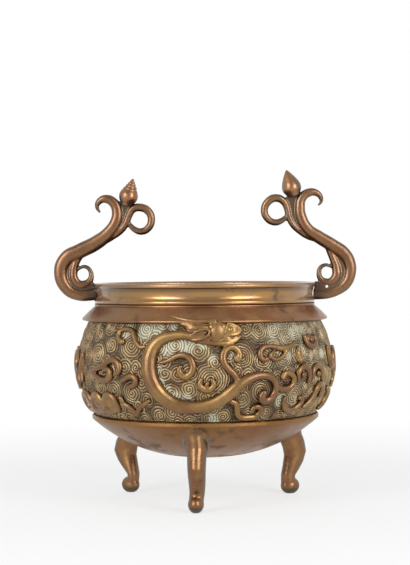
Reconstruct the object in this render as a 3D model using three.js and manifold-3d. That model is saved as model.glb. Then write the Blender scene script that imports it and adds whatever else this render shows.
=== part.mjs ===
// Tripod incense burner in cast and chased copper alloy: a footed bowl built up in rings,
// with two scroll handles, three cabriole legs and high relief on its belly.
// Millimetres, +Z up, origin on the floor under the middle of the bowl, front towards -Y.
import * as THREE from "three";
import { mergeVertices } from "three/addons/utils/BufferGeometryUtils.js";
import Module from "manifold-3d";

const wasm = await Module();
wasm.setup();

// Joints
const SOLDER = 0.3; // solder film between two joined pieces
const SPIGOT_WALL = 1.6; // wall of the hidden collar that centres one ring in the next
const SPIGOT_HEIGHT = 3;

// Lower bowl
const FLOOR_CLEARANCE = 21.4; // from the floor to the bowl's lowest point
const BOWL_DEPTH = 19.4; // from the lowest point to the foot of the upright rim
const BOWL_FULLNESS = 2.5; // 2 is a parabola, more is flatter below and steeper at the rim
const BOWL_EDGE_HEIGHT = 2; // upright rim of the bowl
const BOWL_OVERHANG = 1.4; // of the upright rim beyond the band's foot
const BOWL_WALL = 3;
const PLUG_RADIUS = 24; // disc that closes the casting hole in the bowl's bottom
const PLUG_LEDGE = 3; // width of the ledge that the disc seats against

// Relief band
const BAND_HEIGHT = 45.2;
const BAND_WALL = 3;
const BAND_FOOT_RADIUS = 54.2;
const BAND_TOP_RADIUS = 57;
const BELLY_RADIUS = 62.5;
const BELLY_HEIGHT = 24; // widest place, above the band's foot
const BELLY_FULLNESS = 2.2; // 2 is a parabola, more is rounder

// Shoulder ring
const SHOULDER_HEIGHT = 8.3;
const SHOULDER_EDGE_HEIGHT = 1.9; // upright edge that overhangs the band
const SHOULDER_OVERHANG = 2.3; // of that edge beyond the band's top
const SHOULDER_LEDGE = 0.9; // of the shoulder's top beyond the collar's waist
const SHOULDER_WALL = 3;
const BEAD_HEIGHT = 0.8;

// Neck collar and lip
const COLLAR_HEIGHT = 9.6;
const COLLAR_WAIST_RADIUS = 53.1;
const RIDGE_HEIGHT = 1.7;
const RIDGE_OVERHANG = 1.1; // of the ridge beyond the waist
const LIP_HEIGHT = 1.7;
const LIP_OVERHANG = 1.4; // of the lip beyond the waist
const COLLAR_WALL = 2.4; // at the waist

// Legs
const LEG_COUNT = 3;
const LEG_TURN = 5.8; // degrees that the tripod is turned from facing the front
const LEG_WIDTH = 7; // across, at the shin
const LEG_INSET = 10.8; // from the bowl's edge in to the middle of the leg's root
const ROOT_WIDTH = 9.8; // across, where it spreads onto the bowl
const KNEE_REACH = 4.4; // of the middle of the knee, outward from that of the root
const KNEE_HEIGHT = 22;
const KNEE_DEPTH = 12.8;
const ANKLE_REACH = 0.3;
const ANKLE_HEIGHT = 9.4;
const ANKLE_DEPTH = 7.4;
const TOE_REACH = 1.7;
const TOE_DEPTH = 10.2;
const TOE_WIDTH = 7.2;
const TOE_HEIGHT = 8.9; // of the whole ball, before its sole is filed flat
const SOLE_FLAT = 0.55; // depth filed off under the toe
const TENON_RADIUS = 2.2;
const TENON_REACH = 0.2; // of the tenon's axis, outward from the middle of the root
const TENON_STAND = 1; // the tenon's end stands this far inside the bowl

// Handles
const HANDLE_RISE = 44; // from the rim up to the top of the hooks
const HANDLE_ROUNDNESS = 0.95; // thickness front to back over width
const HANDLE_WEB = 2.8; // thickness of the recessed webs inside the scrolls
const PEG_RADIUS = 1.2;
const PEG_LENGTH = 3.4;
const FINIAL_RADIUS = 4.5;
const FINIAL_HEIGHT = 12.4;

// High relief on the band
const CREST_RADIUS = 2; // of the dragon's horn at its root
const DRAGON_WIDTH = 6.6;
const DRAGON_PROUD = 3.8;
const SCROLL_WIDTH = 2.8;
const SCROLL_PROUD = 1.9;
const RELIEF_MARGIN = 2; // bare strip along the band's foot and top

// Fineness of the faceted solids
const ROUND_SEGMENTS = 42;
const BELLY_STEPS = 8;
const BOWL_STEPS = 5;
const LEG_SIDES = 12;
const STEPS_PER_STATION = 1.2; // rings of a cloud scroll for each station along it

const FINISHES = {
  copper: { color: 0x96643f, roughness: 0.34, metalness: 0.9 },
  brass: { color: 0xaa8a4c, roughness: 0.3, metalness: 0.9 },
  ground: { color: 0x7e6f55, roughness: 0.6, metalness: 0.6 },
  relief: { color: 0xa47a4e, roughness: 0.36, metalness: 0.9 },
};

// Radii that follow from what they carry, from the bowl's axis
const BOWL_EDGE_RADIUS = BAND_FOOT_RADIUS + BOWL_OVERHANG;
const SHOULDER_EDGE_RADIUS = BAND_TOP_RADIUS + SHOULDER_OVERHANG;
const SHOULDER_TOP_RADIUS = COLLAR_WAIST_RADIUS + SHOULDER_LEDGE;
const RIDGE_RADIUS = COLLAR_WAIST_RADIUS + RIDGE_OVERHANG;
const LIP_RADIUS = COLLAR_WAIST_RADIUS + LIP_OVERHANG;
const NECK_RADIUS = COLLAR_WAIST_RADIUS - COLLAR_WALL;
const ROOT_RADIUS = BOWL_EDGE_RADIUS - LEG_INSET;
const KNEE_RADIUS = ROOT_RADIUS + KNEE_REACH;
const ANKLE_RADIUS = ROOT_RADIUS + ANKLE_REACH;
const TOE_RADIUS = ROOT_RADIUS + TOE_REACH;
const TENON_PLACE = ROOT_RADIUS + TENON_REACH;

// Heights of the seams, from the floor up
const BOWL_TOP = bowlHeight(BOWL_EDGE_RADIUS) + BOWL_EDGE_HEIGHT;
const BAND_FOOT = BOWL_TOP + SOLDER;
const BAND_TOP = BAND_FOOT + BAND_HEIGHT;
const BELLY_LEVEL = BAND_FOOT + BELLY_HEIGHT;
const SHOULDER_FOOT = BAND_TOP + SOLDER;
const SHOULDER_TOP = SHOULDER_FOOT + SHOULDER_HEIGHT;
const COLLAR_FOOT = SHOULDER_TOP + SOLDER;
const RIM_TOP = COLLAR_FOOT + COLLAR_HEIGHT;

// Height of the bowl's outside at a radius; offset moves the surface outwards.
function bowlHeight(radius, offset = 0) {
  const share = radius / BOWL_EDGE_RADIUS;
  const slope = (BOWL_DEPTH * BOWL_FULLNESS * share ** (BOWL_FULLNESS - 1)) / BOWL_EDGE_RADIUS;
  return FLOOR_CLEARANCE + BOWL_DEPTH * share ** BOWL_FULLNESS - offset * Math.hypot(1, slope);
}

// Outside radius of the band at a height.
function bandRadius(z) {
  const below = z < BELLY_LEVEL;
  const reach = below ? BELLY_HEIGHT : BAND_HEIGHT - BELLY_HEIGHT;
  const end = below ? BAND_FOOT_RADIUS : BAND_TOP_RADIUS;
  const away = Math.abs(z - BELLY_LEVEL) / reach;
  return BELLY_RADIUS - (BELLY_RADIUS - end) * away ** BELLY_FULLNESS;
}

// Heights from the band's foot to its top in equal steps.
function bandLevels(steps) {
  return Array.from({ length: steps + 1 }, (_, i) => BAND_FOOT + (BAND_HEIGHT * i) / steps);
}

// A geometry as a solid, turned right side out.
function solid(geometry) {
  const bare = new THREE.BufferGeometry();
  bare.setAttribute("position", geometry.getAttribute("position"));
  if (geometry.index) bare.setIndex(geometry.index);
  const merged = mergeVertices(bare, 1e-4);
  const corners = merged.index.array;
  const kept = [];
  for (let i = 0; i < corners.length; i += 3) {
    const [a, b, c] = [corners[i], corners[i + 1], corners[i + 2]];
    if (a !== b && b !== c && a !== c) kept.push(a, b, c);
  }
  if (volumeOf(merged, kept) < 0) kept.reverse();
  return new wasm.Manifold(
    new wasm.Mesh({
      numProp: 3,
      vertProperties: new Float32Array(merged.getAttribute("position").array),
      triVerts: new Uint32Array(kept),
    }),
  );
}

function volumeOf(geometry, corners) {
  const place = geometry.getAttribute("position");
  const [a, b, c] = [0, 1, 2].map(() => new THREE.Vector3());
  let total = 0;
  for (let i = 0; i < corners.length; i += 3) {
    a.fromBufferAttribute(place, corners[i]);
    b.fromBufferAttribute(place, corners[i + 1]);
    c.fromBufferAttribute(place, corners[i + 2]);
    total += a.dot(b.cross(c));
  }
  return total;
}

function geometryOf(made) {
  const { vertProperties, triVerts } = made.getMesh();
  const geometry = new THREE.BufferGeometry();
  geometry.setAttribute("position", new THREE.BufferAttribute(vertProperties, 3));
  geometry.setIndex(new THREE.BufferAttribute(triVerts, 1));
  geometry.computeVertexNormals();
  return geometry;
}

function piece(name, made, finish) {
  const mesh = new THREE.Mesh(geometryOf(made), new THREE.MeshStandardMaterial(FINISHES[finish]));
  mesh.name = name;
  return mesh;
}

// Turned body from a closed outline of [radius, height] corners.
function turned(outline, segments = ROUND_SEGMENTS) {
  const points = outline.map(([radius, z]) => new THREE.Vector2(radius, z));
  if (outline[0][0] > 0) points.push(points[0].clone());
  return solid(new THREE.LatheGeometry(points, segments).rotateX(Math.PI / 2));
}

// Closed skin over a row of rings that all have the same number of corners.
function skin(rings) {
  const sides = rings[0].length;
  const middle = (ring) =>
    ring.reduce((sum, p) => sum.add(p), new THREE.Vector3()).divideScalar(sides);
  const points = [...rings.flat(), middle(rings[0]), middle(rings.at(-1))];
  const [first, last] = [points.length - 2, points.length - 1];
  const index = [];
  for (let i = 0; i < sides; i++) {
    const next = (i + 1) % sides;
    for (let row = 0; row < rings.length - 1; row++) {
      const [low, high] = [row * sides, (row + 1) * sides];
      index.push(low + i, low + next, high + next, low + i, high + next, high + i);
    }
    const end = (rings.length - 1) * sides;
    index.push(first, next, i, last, end + i, end + next);
  }
  const geometry = new THREE.BufferGeometry().setFromPoints(points);
  geometry.setIndex(index);
  return solid(geometry);
}

function joined(solids) {
  return solids.reduce((sum, next) => sum.add(next));
}

// Round bar along an axis: "x" or "z".
function bar(axis, radius, from, to, sides, x = 0, z = 0) {
  const geometry = new THREE.CylinderGeometry(radius, radius, to - from, sides);
  geometry.translate(0, (from + to) / 2, 0);
  if (axis === "x") geometry.rotateZ(-Math.PI / 2);
  else geometry.rotateX(Math.PI / 2);
  return solid(geometry.translate(x, 0, z));
}

// Shallow cast bowl with a plug hole, three tenon holes and a spigot for the band.
function lowerBowl() {
  const rows = (from, to, offset) =>
    Array.from({ length: BOWL_STEPS + 1 }, (_, i) => {
      const radius = from + ((to - from) * i) / BOWL_STEPS;
      return [radius, bowlHeight(radius, offset)];
    });
  const spigot = BAND_FOOT_RADIUS - BAND_WALL - SOLDER;
  const shell = turned([
    ...rows(PLUG_RADIUS, BOWL_EDGE_RADIUS, 0),
    [BOWL_EDGE_RADIUS, BOWL_TOP],
    [spigot, BOWL_TOP],
    [spigot, BOWL_TOP + SPIGOT_HEIGHT],
    [spigot - SPIGOT_WALL, BOWL_TOP + SPIGOT_HEIGHT],
    ...rows(spigot - SPIGOT_WALL, PLUG_RADIUS - PLUG_LEDGE, -BOWL_WALL),
    [PLUG_RADIUS - PLUG_LEDGE, bowlHeight(PLUG_RADIUS) + BOWL_WALL / 2],
    [PLUG_RADIUS, bowlHeight(PLUG_RADIUS) + BOWL_WALL / 2],
  ]);
  return legAngles().reduce((left, angle) => {
    const hole = legTenon(TENON_RADIUS + SOLDER, SOLDER).rotate([0, 0, angle]);
    return left.subtract(hole);
  }, shell);
}

// Stepped disc soldered into the hole in the bowl's bottom.
function basePlug() {
  const outer = PLUG_RADIUS - SOLDER;
  const inner = outer - PLUG_LEDGE;
  const step = bowlHeight(PLUG_RADIUS) + BOWL_WALL / 2 - SOLDER;
  return turned([
    [0, bowlHeight(0)],
    [outer / 2, bowlHeight(outer / 2)],
    [outer, bowlHeight(outer)],
    [outer, step],
    [inner, step],
    [inner, bowlHeight(inner, -BOWL_WALL)],
    [inner / 2, bowlHeight(inner / 2, -BOWL_WALL)],
    [0, bowlHeight(0, -BOWL_WALL)],
  ]);
}

// Bulging wall that carries the chased ground and the high relief.
function reliefBand() {
  const outside = bandLevels(BELLY_STEPS).map((z) => [bandRadius(z), z]);
  const inside = bandLevels(BELLY_STEPS / 2).map((z) => [bandRadius(z) - BAND_WALL, z]);
  return turned([...outside, ...inside.reverse()]);
}

// Sloping ring that overhangs the band, with a bead round its top.
function shoulderRing() {
  const spigot = BAND_TOP_RADIUS - BAND_WALL - SOLDER;
  const slope = SHOULDER_FOOT + SHOULDER_EDGE_HEIGHT;
  const mouth = NECK_RADIUS + SPIGOT_WALL + SOLDER;
  return turned([
    [spigot, SHOULDER_FOOT],
    [SHOULDER_EDGE_RADIUS - 0.5, SHOULDER_FOOT],
    [SHOULDER_EDGE_RADIUS, SHOULDER_FOOT + 0.6],
    [SHOULDER_EDGE_RADIUS, slope],
    [SHOULDER_TOP_RADIUS - 0.3, SHOULDER_TOP - BEAD_HEIGHT - 0.3],
    [SHOULDER_TOP_RADIUS, SHOULDER_TOP - BEAD_HEIGHT],
    [SHOULDER_TOP_RADIUS, SHOULDER_TOP],
    [mouth, SHOULDER_TOP],
    [mouth, SHOULDER_TOP - SHOULDER_WALL],
    [spigot - SPIGOT_WALL, SHOULDER_FOOT],
    [spigot - SPIGOT_WALL, SHOULDER_FOOT - SPIGOT_HEIGHT],
    [spigot, SHOULDER_FOOT - SPIGOT_HEIGHT],
  ]);
}

// Hollow-curved collar between a ridge and the lip.
function neckCollar() {
  const ridge = COLLAR_FOOT + RIDGE_HEIGHT;
  const lip = RIM_TOP - LIP_HEIGHT;
  const waist = (ridge + lip) / 2;
  const flank = COLLAR_WAIST_RADIUS + RIDGE_OVERHANG * 0.36;
  return turned([
    [NECK_RADIUS + SPIGOT_WALL, COLLAR_FOOT],
    [COLLAR_WAIST_RADIUS, COLLAR_FOOT],
    [RIDGE_RADIUS, COLLAR_FOOT + 0.6],
    [RIDGE_RADIUS, ridge],
    [flank, (ridge + waist) / 2],
    [COLLAR_WAIST_RADIUS, waist],
    [COLLAR_WAIST_RADIUS, lip - 0.3],
    [LIP_RADIUS, lip],
    [LIP_RADIUS, RIM_TOP - 0.5],
    [LIP_RADIUS - 0.6, RIM_TOP],
    [NECK_RADIUS + 0.5, RIM_TOP],
    [NECK_RADIUS, RIM_TOP - 0.5],
    [NECK_RADIUS, COLLAR_FOOT - SPIGOT_HEIGHT + SOLDER],
    [NECK_RADIUS + SPIGOT_WALL, COLLAR_FOOT - SPIGOT_HEIGHT + SOLDER],
  ]);
}

function legAngles() {
  return Array.from({ length: LEG_COUNT }, (_, i) => -90 - LEG_TURN + (360 / LEG_COUNT) * i);
}

// Upright tenon of a leg that lies along +X, through the bowl's wall.
function legTenon(radius, clearance) {
  const top = bowlHeight(TENON_PLACE + TENON_RADIUS, -BOWL_WALL) + TENON_STAND + clearance;
  return bar("z", radius, KNEE_HEIGHT, top, 10, TENON_PLACE);
}

// Cabriole leg along +X: root, knee, shin, ankle and a ball toe with a flat sole.
function leg() {
  const root = bowlHeight(ROOT_RADIUS, SOLDER);
  const between = (low, high, share) => low + (high - low) * share;
  // middle radius, height, depth in and out, width across, and tilt of the ring in degrees
  const stations = [
    [ROOT_RADIUS, root + KNEE_DEPTH / 2, KNEE_DEPTH * 0.86, ROOT_WIDTH, 0],
    [between(ROOT_RADIUS, KNEE_RADIUS, 0.2), root - 1.2, KNEE_DEPTH * 0.97, ROOT_WIDTH * 0.95, 0],
    [between(ROOT_RADIUS, KNEE_RADIUS, 0.6), between(KNEE_HEIGHT, root, 0.45), KNEE_DEPTH * 1.04,
      ROOT_WIDTH * 0.86, 2],
    [KNEE_RADIUS, KNEE_HEIGHT, KNEE_DEPTH, LEG_WIDTH * 1.12, 8],
    [between(ANKLE_RADIUS, KNEE_RADIUS, 0.86), between(ANKLE_HEIGHT, KNEE_HEIGHT, 0.65),
      KNEE_DEPTH * 0.82, LEG_WIDTH * 1.04, 20],
    [between(ANKLE_RADIUS, KNEE_RADIUS, 0.42), between(ANKLE_HEIGHT, KNEE_HEIGHT, 0.3),
      ANKLE_DEPTH * 1.15, LEG_WIDTH * 0.97, 20],
    [ANKLE_RADIUS, ANKLE_HEIGHT, ANKLE_DEPTH, LEG_WIDTH * 0.9, 6],
    [TOE_RADIUS - 1, TOE_HEIGHT / 2, TOE_DEPTH * 0.7, TOE_WIDTH * 0.85, -8],
  ];
  const rings = stations.map(([radius, z, depth, width, tilt]) => {
    const lean = THREE.MathUtils.degToRad(tilt);
    return Array.from({ length: LEG_SIDES }, (_, i) => {
      const turn = (2 * Math.PI * i) / LEG_SIDES;
      const out = (depth / 2) * Math.cos(turn);
      return new THREE.Vector3(
        radius + out * Math.cos(lean),
        (width / 2) * Math.sin(turn),
        z - out * Math.sin(lean),
      );
    });
  });
  const toe = new THREE.SphereGeometry(0.5, LEG_SIDES, 8).rotateX(Math.PI / 2);
  toe.scale(TOE_DEPTH, TOE_WIDTH, TOE_HEIGHT);
  toe.translate(TOE_RADIUS, 0, TOE_HEIGHT / 2 - SOLE_FLAT);
  const below = bar("z", BOWL_EDGE_RADIUS * 2, -TOE_HEIGHT, 0, 6);
  const cut = skin(rings).add(solid(toe)).subtract(below).subtract(bowlSpace());
  return cut.add(legTenon(TENON_RADIUS, 0));
}

// All that the lower bowl takes up, with the solder film on its outside.
function bowlSpace() {
  const reach = BOWL_EDGE_RADIUS;
  const rows = Array.from({ length: 2 * BOWL_STEPS + 1 }, (_, i) => {
    const radius = (reach * i) / (2 * BOWL_STEPS);
    return [radius, bowlHeight(radius, SOLDER)];
  });
  return turned([...rows, [reach + SOLDER, BOWL_TOP], [0, BOWL_TOP]]);
}

// Place in the handle's plane, from hundredths of the handle's rise.
function handlePlace([out, up, width = 0]) {
  const unit = HANDLE_RISE / 100;
  return new THREE.Vector3(LIP_RADIUS + out * unit, RIM_TOP + up * unit, width * unit);
}

// Bar of elliptical section through the stations.
function scrollBar(stations, side, steps, sides) {
  const path = new THREE.CatmullRomCurve3(stations.map(handlePlace), false, "centripetal");
  const at = path.getSpacedPoints(steps);
  const rings = at.map((point, i) => {
    const ahead = at[Math.min(i + 1, steps)];
    const behind = at[Math.max(i - 1, 0)];
    const run = new THREE.Vector2(ahead.x - behind.x, ahead.y - behind.y).normalize();
    return Array.from({ length: sides }, (_, k) => {
      const turn = (2 * Math.PI * k) / sides;
      const across = (point.z / 2) * Math.cos(turn);
      const deep = (point.z / 2) * HANDLE_ROUNDNESS * Math.sin(turn);
      return new THREE.Vector3(side * (point.x - run.y * across), deep, point.y + run.x * across);
    });
  });
  return skin(rings);
}

// Flat plate of an outline in the handle's plane, centred front to back.
function web(outline, side) {
  const corners = outline.map(handlePlace);
  const shape = new THREE.Shape(corners.map(({ x, y }) => new THREE.Vector2(side * x, y)));
  const settings = { depth: HANDLE_WEB, bevelEnabled: false };
  const geometry = new THREE.ExtrudeGeometry(shape, settings);
  return solid(geometry.translate(0, 0, -HANDLE_WEB / 2).rotateX(Math.PI / 2));
}

// Stations of the handles' bars: outward from the lip, up from the rim, and width, all in
// hundredths of the handle's rise. Corners of the webs and the finial's seat are given alike.
const LEFT_HANDLE = {
  side: -1,
  stem: [
    [-2.3, -12, 14.5],
    [5.7, -13.2, 13.4],
    [15.9, -13.4, 12.5],
    [29.3, -6.8, 13.6],
    [37, 11.4, 15.2],
    [30.7, 27.7, 16.4],
    [15.2, 35.9, 17.3],
    [-4.1, 45.7, 16.8],
    [-17.5, 56.6, 14.3],
    [-24.8, 67.7, 13.2],
    [-26.8, 78.6, 12.3],
    [-23.2, 89.1, 11.6],
    [-13.9, 94.1, 9.8],
    [-6.4, 90.9, 7],
    [-4.3, 85, 5],
    [-7.7, 78.6, 2],
  ],
  ring: [
    [-9.8, 49.1, 6.8],
    [-22.3, 51.4, 8.2],
    [-31.6, 57.3, 8.2],
    [-37.3, 65.9, 7.7],
    [-40, 74.5, 7.7],
    [-43.4, 81.6, 8.6],
    [-51.1, 84.1, 9.1],
    [-59.8, 81.1, 9.1],
    [-64.8, 72, 8.9],
    [-63.6, 63, 8.6],
    [-57.3, 57, 8.6],
    [-49.5, 57.5, 7.7],
    [-43, 61.8, 5.5],
  ],
  curl: [
    [12.7, 35, 7.3],
    [16.8, 24.5, 8.6],
    [20.7, 11.4, 8.2],
    [18.2, 2.7, 8.2],
    [11.1, -1.6, 7.7],
    [4.5, 1.8, 6.6],
    [2.7, 9.1, 5.5],
    [5.7, 15.9, 5],
    [11.6, 18, 4.3],
    [16.6, 15, 2.7],
  ],
  crotch: [
    [-27.3, 92],
    [-39.8, 88.6],
    [-43.2, 81.8],
    [-39.3, 70.5],
    [-30.7, 56.8],
    [-17, 52.3],
    [-23.9, 68.2],
    [-26.1, 81.8],
  ],
  bend: [
    [12.5, 30.7],
    [19.3, 20.5],
    [21.1, 9.1],
    [17, 1.1],
    [10.2, -2.3],
    [-1.1, 0.5],
    [-1.1, -15.9],
    [14.8, -13.6],
    [30.7, -4.5],
    [35.2, 11.4],
    [28.4, 27.3],
  ],
  seat: { out: -37, up: 91.6, lean: 17 },
};

const RIGHT_HANDLE = {
  side: 1,
  stem: [
    [-2.3, -14.1, 12.3],
    [5.7, -14.5, 10.9],
    [14.3, -13.9, 10.2],
    [24.5, -10, 11.1],
    [33.9, -3, 12.3],
    [38.9, 8.2, 13.2],
    [38.4, 20.5, 14.1],
    [32.3, 31.1, 15.2],
    [20, 40, 15.5],
    [3.6, 50.2, 14.5],
    [-8, 58.6, 13.6],
    [-15, 72, 12.3],
    [-16.6, 83.2, 11.6],
    [-14.5, 93.2, 10.9],
    [-6.8, 99.5, 10],
    [2, 99.1, 7.7],
    [7, 93.6, 5.5],
    [6.8, 88.6, 3.6],
    [3.6, 85.2, 2],
  ],
  ring: [
    [-2.5, 51.8, 6.8],
    [-14.8, 56.4, 7.7],
    [-23.4, 63.6, 7.7],
    [-28.4, 72.7, 7],
    [-30.7, 81.8, 7],
    [-34.3, 90, 8.2],
    [-42.7, 94.5, 9.3],
    [-51.6, 91.4, 9.1],
    [-56.1, 81.8, 8.9],
    [-54.1, 72.7, 8.6],
    [-47.5, 67.5, 8.2],
    [-39.8, 68.4, 7.3],
    [-33.4, 72.7, 5.2],
  ],
  curl: [
    [13.9, 37.7, 7.3],
    [18, 28.2, 8],
    [21.8, 17.3, 7.3],
    [22.3, 8.2, 7.5],
    [18.4, 1.8, 7.3],
    [12.3, 0.2, 6.6],
    [6.1, 4.1, 6.1],
    [4.3, 10.5, 5.9],
    [7, 16.8, 5.5],
    [13.2, 18.9, 4.8],
    [18.6, 16.1, 2.7],
  ],
  crotch: [
    [-15.9, 100],
    [-30.7, 97.7],
    [-34.1, 90.9],
    [-30, 79.5],
    [-22.7, 63.6],
    [-8, 54.5],
    [-13.6, 72.7],
    [-15.9, 86.4],
  ],
  bend: [
    [13.6, 33],
    [20.5, 22.7],
    [22.7, 9.1],
    [18.2, 1.1],
    [12.5, -0.9],
    [-1.1, 0.5],
    [-1.1, -8],
    [12.5, -12.5],
    [33, -3.4],
    [37.5, 9.1],
    [30.7, 29.5],
  ],
  seat: { out: -23.6, up: 98.4, lean: 16.5 },
};

// One cast handle: stem with its hook, upper ring, lower curl and the webs between them.
function handle({ side, stem, ring, curl, crotch, bend, seat }) {
  const cast = joined([
    scrollBar(stem, side, 32, 10),
    scrollBar(ring, side, 22, 8),
    scrollBar(curl, side, 17, 8),
    web(crotch, side),
    web(bend, side),
  ]);
  const collar = turned([
    [0, COLLAR_FOOT - SPIGOT_HEIGHT],
    [LIP_RADIUS + SOLDER, COLLAR_FOOT - SPIGOT_HEIGHT],
    [LIP_RADIUS + SOLDER, RIM_TOP + SOLDER],
    [0, RIM_TOP + SOLDER],
  ]);
  const hole = pegBar(PEG_RADIUS + SOLDER, SOLDER);
  return cast.subtract(collar).subtract(atSeat(hole, side, seat)).subtract(
    atSeat(finialSpace(), side, seat),
  );
}

// Moves an upright solid to a handle's seat and leans it towards the bowl's axis.
function atSeat(made, side, { out, up, lean }) {
  const place = handlePlace([out, up]);
  return made.rotate([0, -side * lean, 0]).translate([side * place.x, 0, place.y]);
}

function pegBar(radius, clearance) {
  return bar("z", radius, -PEG_LENGTH - clearance, PEG_RADIUS, 8);
}

// Outlines of the finials, as [share of radius, share of height].
const SHELL_OUTLINE = [
  [0.45, 0],
  [0.92, 0.14],
  [1, 0.3],
  [0.86, 0.45],
  [0.78, 0.47],
  [0.66, 0.62],
  [0.58, 0.64],
  [0.46, 0.76],
  [0.38, 0.78],
  [0.26, 0.89],
  [0.18, 0.91],
];
const BUD_OUTLINE = [
  [0.45, 0],
  [0.88, 0.1],
  [1, 0.27],
  [0.9, 0.45],
  [0.62, 0.68],
  [0.28, 0.9],
];

function finial(outline) {
  const shares = outline.map(([out, up]) => [out * FINIAL_RADIUS, up * FINIAL_HEIGHT]);
  return turned([[0, 0], ...shares, [0, FINIAL_HEIGHT]], 14).add(pegBar(PEG_RADIUS, 0));
}

// Room that the finial's rounded underside takes in the handle's top.
function finialSpace() {
  const reach = FINIAL_RADIUS + SOLDER;
  return turned([[0, -SOLDER], [reach / 2, -SOLDER], [reach, 0.14 * FINIAL_HEIGHT - SOLDER],
    [reach, FINIAL_HEIGHT], [0, FINIAL_HEIGHT]], 14);
}

// Point on the band, a distance off its surface, with the surface's outward normal.
function onBand(degrees, share, off) {
  const low = BAND_FOOT + RELIEF_MARGIN;
  const z = low + share * (BAND_HEIGHT - 2 * RELIEF_MARGIN);
  const turn = THREE.MathUtils.degToRad(degrees);
  const slope = (bandRadius(z + 0.1) - bandRadius(z - 0.1)) / 0.2;
  const normal = new THREE.Vector3(Math.sin(turn), -Math.cos(turn), -slope).normalize();
  const radius = bandRadius(z);
  const place = new THREE.Vector3(Math.sin(turn) * radius, -Math.cos(turn) * radius, z);
  return { place: place.addScaledVector(normal, off), normal };
}

// Raised strap with a flat back, through [degrees, share of the field's height, share of the
// full width] stations.
function strap(stations, proud, fullWidth, steps, crown = 3) {
  const path = new THREE.CatmullRomCurve3(
    stations.map(([degrees, up, wide]) => new THREE.Vector3(degrees, up * 40, wide * fullWidth)),
    false,
    "centripetal",
  );
  const rows = path.getSpacedPoints(steps);
  const feet = rows.map((row) => onBand(row.x, row.y / 40, SOLDER));
  const rings = feet.map(({ place, normal }, i) => {
    const run = feet[Math.min(i + 1, steps)].place
      .clone()
      .sub(feet[Math.max(i - 1, 0)].place);
    const across = new THREE.Vector3().crossVectors(normal, run).normalize();
    const half = rows[i].z / 2;
    const height = proud * Math.sqrt(Math.min(1, rows[i].z / fullWidth));
    return Array.from({ length: crown + 2 }, (_, k) => {
      const turn = (Math.PI * k) / (crown + 1);
      return place
        .clone()
        .addScaledVector(across, half * Math.cos(turn))
        .addScaledVector(normal, height * Math.sin(turn));
    });
  });
  return skin(rings);
}

// Everything behind the relief, with the solder film on its outside.
function bodySpace() {
  const edge = SHOULDER_EDGE_RADIUS + SOLDER;
  return turned([
    [0, BAND_FOOT],
    ...bandLevels(BELLY_STEPS).map((z) => [bandRadius(z) + SOLDER * 0.9, z]),
    [edge, SHOULDER_FOOT - SOLDER],
    [edge, SHOULDER_FOOT + SHOULDER_EDGE_HEIGHT + SOLDER],
    [SHOULDER_TOP_RADIUS + SOLDER, SHOULDER_TOP - BEAD_HEIGHT + SOLDER],
    [0, SHOULDER_TOP],
  ]);
}

// Horned dragon: its head under the shoulder, its body looped round to a curled tail.
function dragon() {
  const body = [
    [16.8, 1.0, 0.24],
    [15.2, 0.96, 0.91],
    [12, 0.935, 1.55],
    [8, 0.92, 1.73],
    [4, 0.93, 1.61],
    [-1, 0.95, 1.36],
    [-5.5, 0.95, 1.15],
    [-10, 0.935, 1.03],
    [-15.4, 0.905, 1],
    [-20.6, 0.825, 1],
    [-24.4, 0.72, 1.02],
    [-25.6, 0.595, 1.02],
    [-24.6, 0.475, 1.02],
    [-22.3, 0.355, 1],
    [-18, 0.25, 0.98],
    [-12.6, 0.175, 0.95],
    [-6.6, 0.15, 0.92],
    [-0.6, 0.165, 0.89],
    [5.2, 0.22, 0.85],
    [10.8, 0.315, 0.8],
    [15.4, 0.43, 0.76],
    [20.6, 0.505, 0.7],
    [26, 0.515, 0.64],
    [30.5, 0.44, 0.59],
    [32.2, 0.325, 0.53],
    [30, 0.225, 0.45],
    [26.4, 0.245, 0.36],
    [26, 0.31, 0.21],
  ];
  const chin = [
    [13.4, 0.65, 0.64],
    [15, 0.735, 0.86],
    [12.8, 0.815, 1],
    [9.6, 0.8, 1.07],
    [7.6, 0.725, 1.11],
    [7.5, 0.64, 1.11],
    [9.4, 0.565, 1.07],
    [11.6, 0.495, 1.07],
    [13.4, 0.42, 1.07],
  ];
  const parts = [
    strap(body, DRAGON_PROUD, DRAGON_WIDTH, 52, 4),
    strap(chin, SCROLL_PROUD * 1.2, SCROLL_WIDTH, 12),
    crest(),
  ];
  return joined(parts).subtract(bodySpace());
}

// Horn that sweeps back from the brow over the shoulder's slope.
function crest() {
  const slopeRadius = (z) => {
    const low = SHOULDER_FOOT + SHOULDER_EDGE_HEIGHT;
    const high = SHOULDER_TOP - BEAD_HEIGHT;
    const share = Math.min(1, Math.max(0, (z - low) / (high - low)));
    return SHOULDER_EDGE_RADIUS + (SHOULDER_TOP_RADIUS - SHOULDER_EDGE_RADIUS) * share;
  };
  // degrees, share of the shoulder's height above its foot, share of the radius at the root
  const stations = [
    [-18.5, 0.51, 0.2],
    [-14.5, 0.41, 0.45],
    [-10.5, 0.28, 0.65],
    [-6, 0.07, 0.85],
    [-1, -0.19, 1],
  ];
  const rings = stations.map(([degrees, up, share]) => {
    const half = share * CREST_RADIUS;
    const z = SHOULDER_FOOT + up * SHOULDER_HEIGHT;
    const turn = THREE.MathUtils.degToRad(degrees);
    const out = slopeRadius(z) + SOLDER;
    const aim = new THREE.Vector3(Math.sin(turn), -Math.cos(turn), 0);
    return Array.from({ length: 6 }, (_, k) => {
      const angle = (Math.PI * k) / 3;
      return aim
        .clone()
        .multiplyScalar(out + half * Math.cos(angle))
        .setZ(z + half * Math.sin(angle));
    });
  });
  return skin(rings);
}

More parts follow.
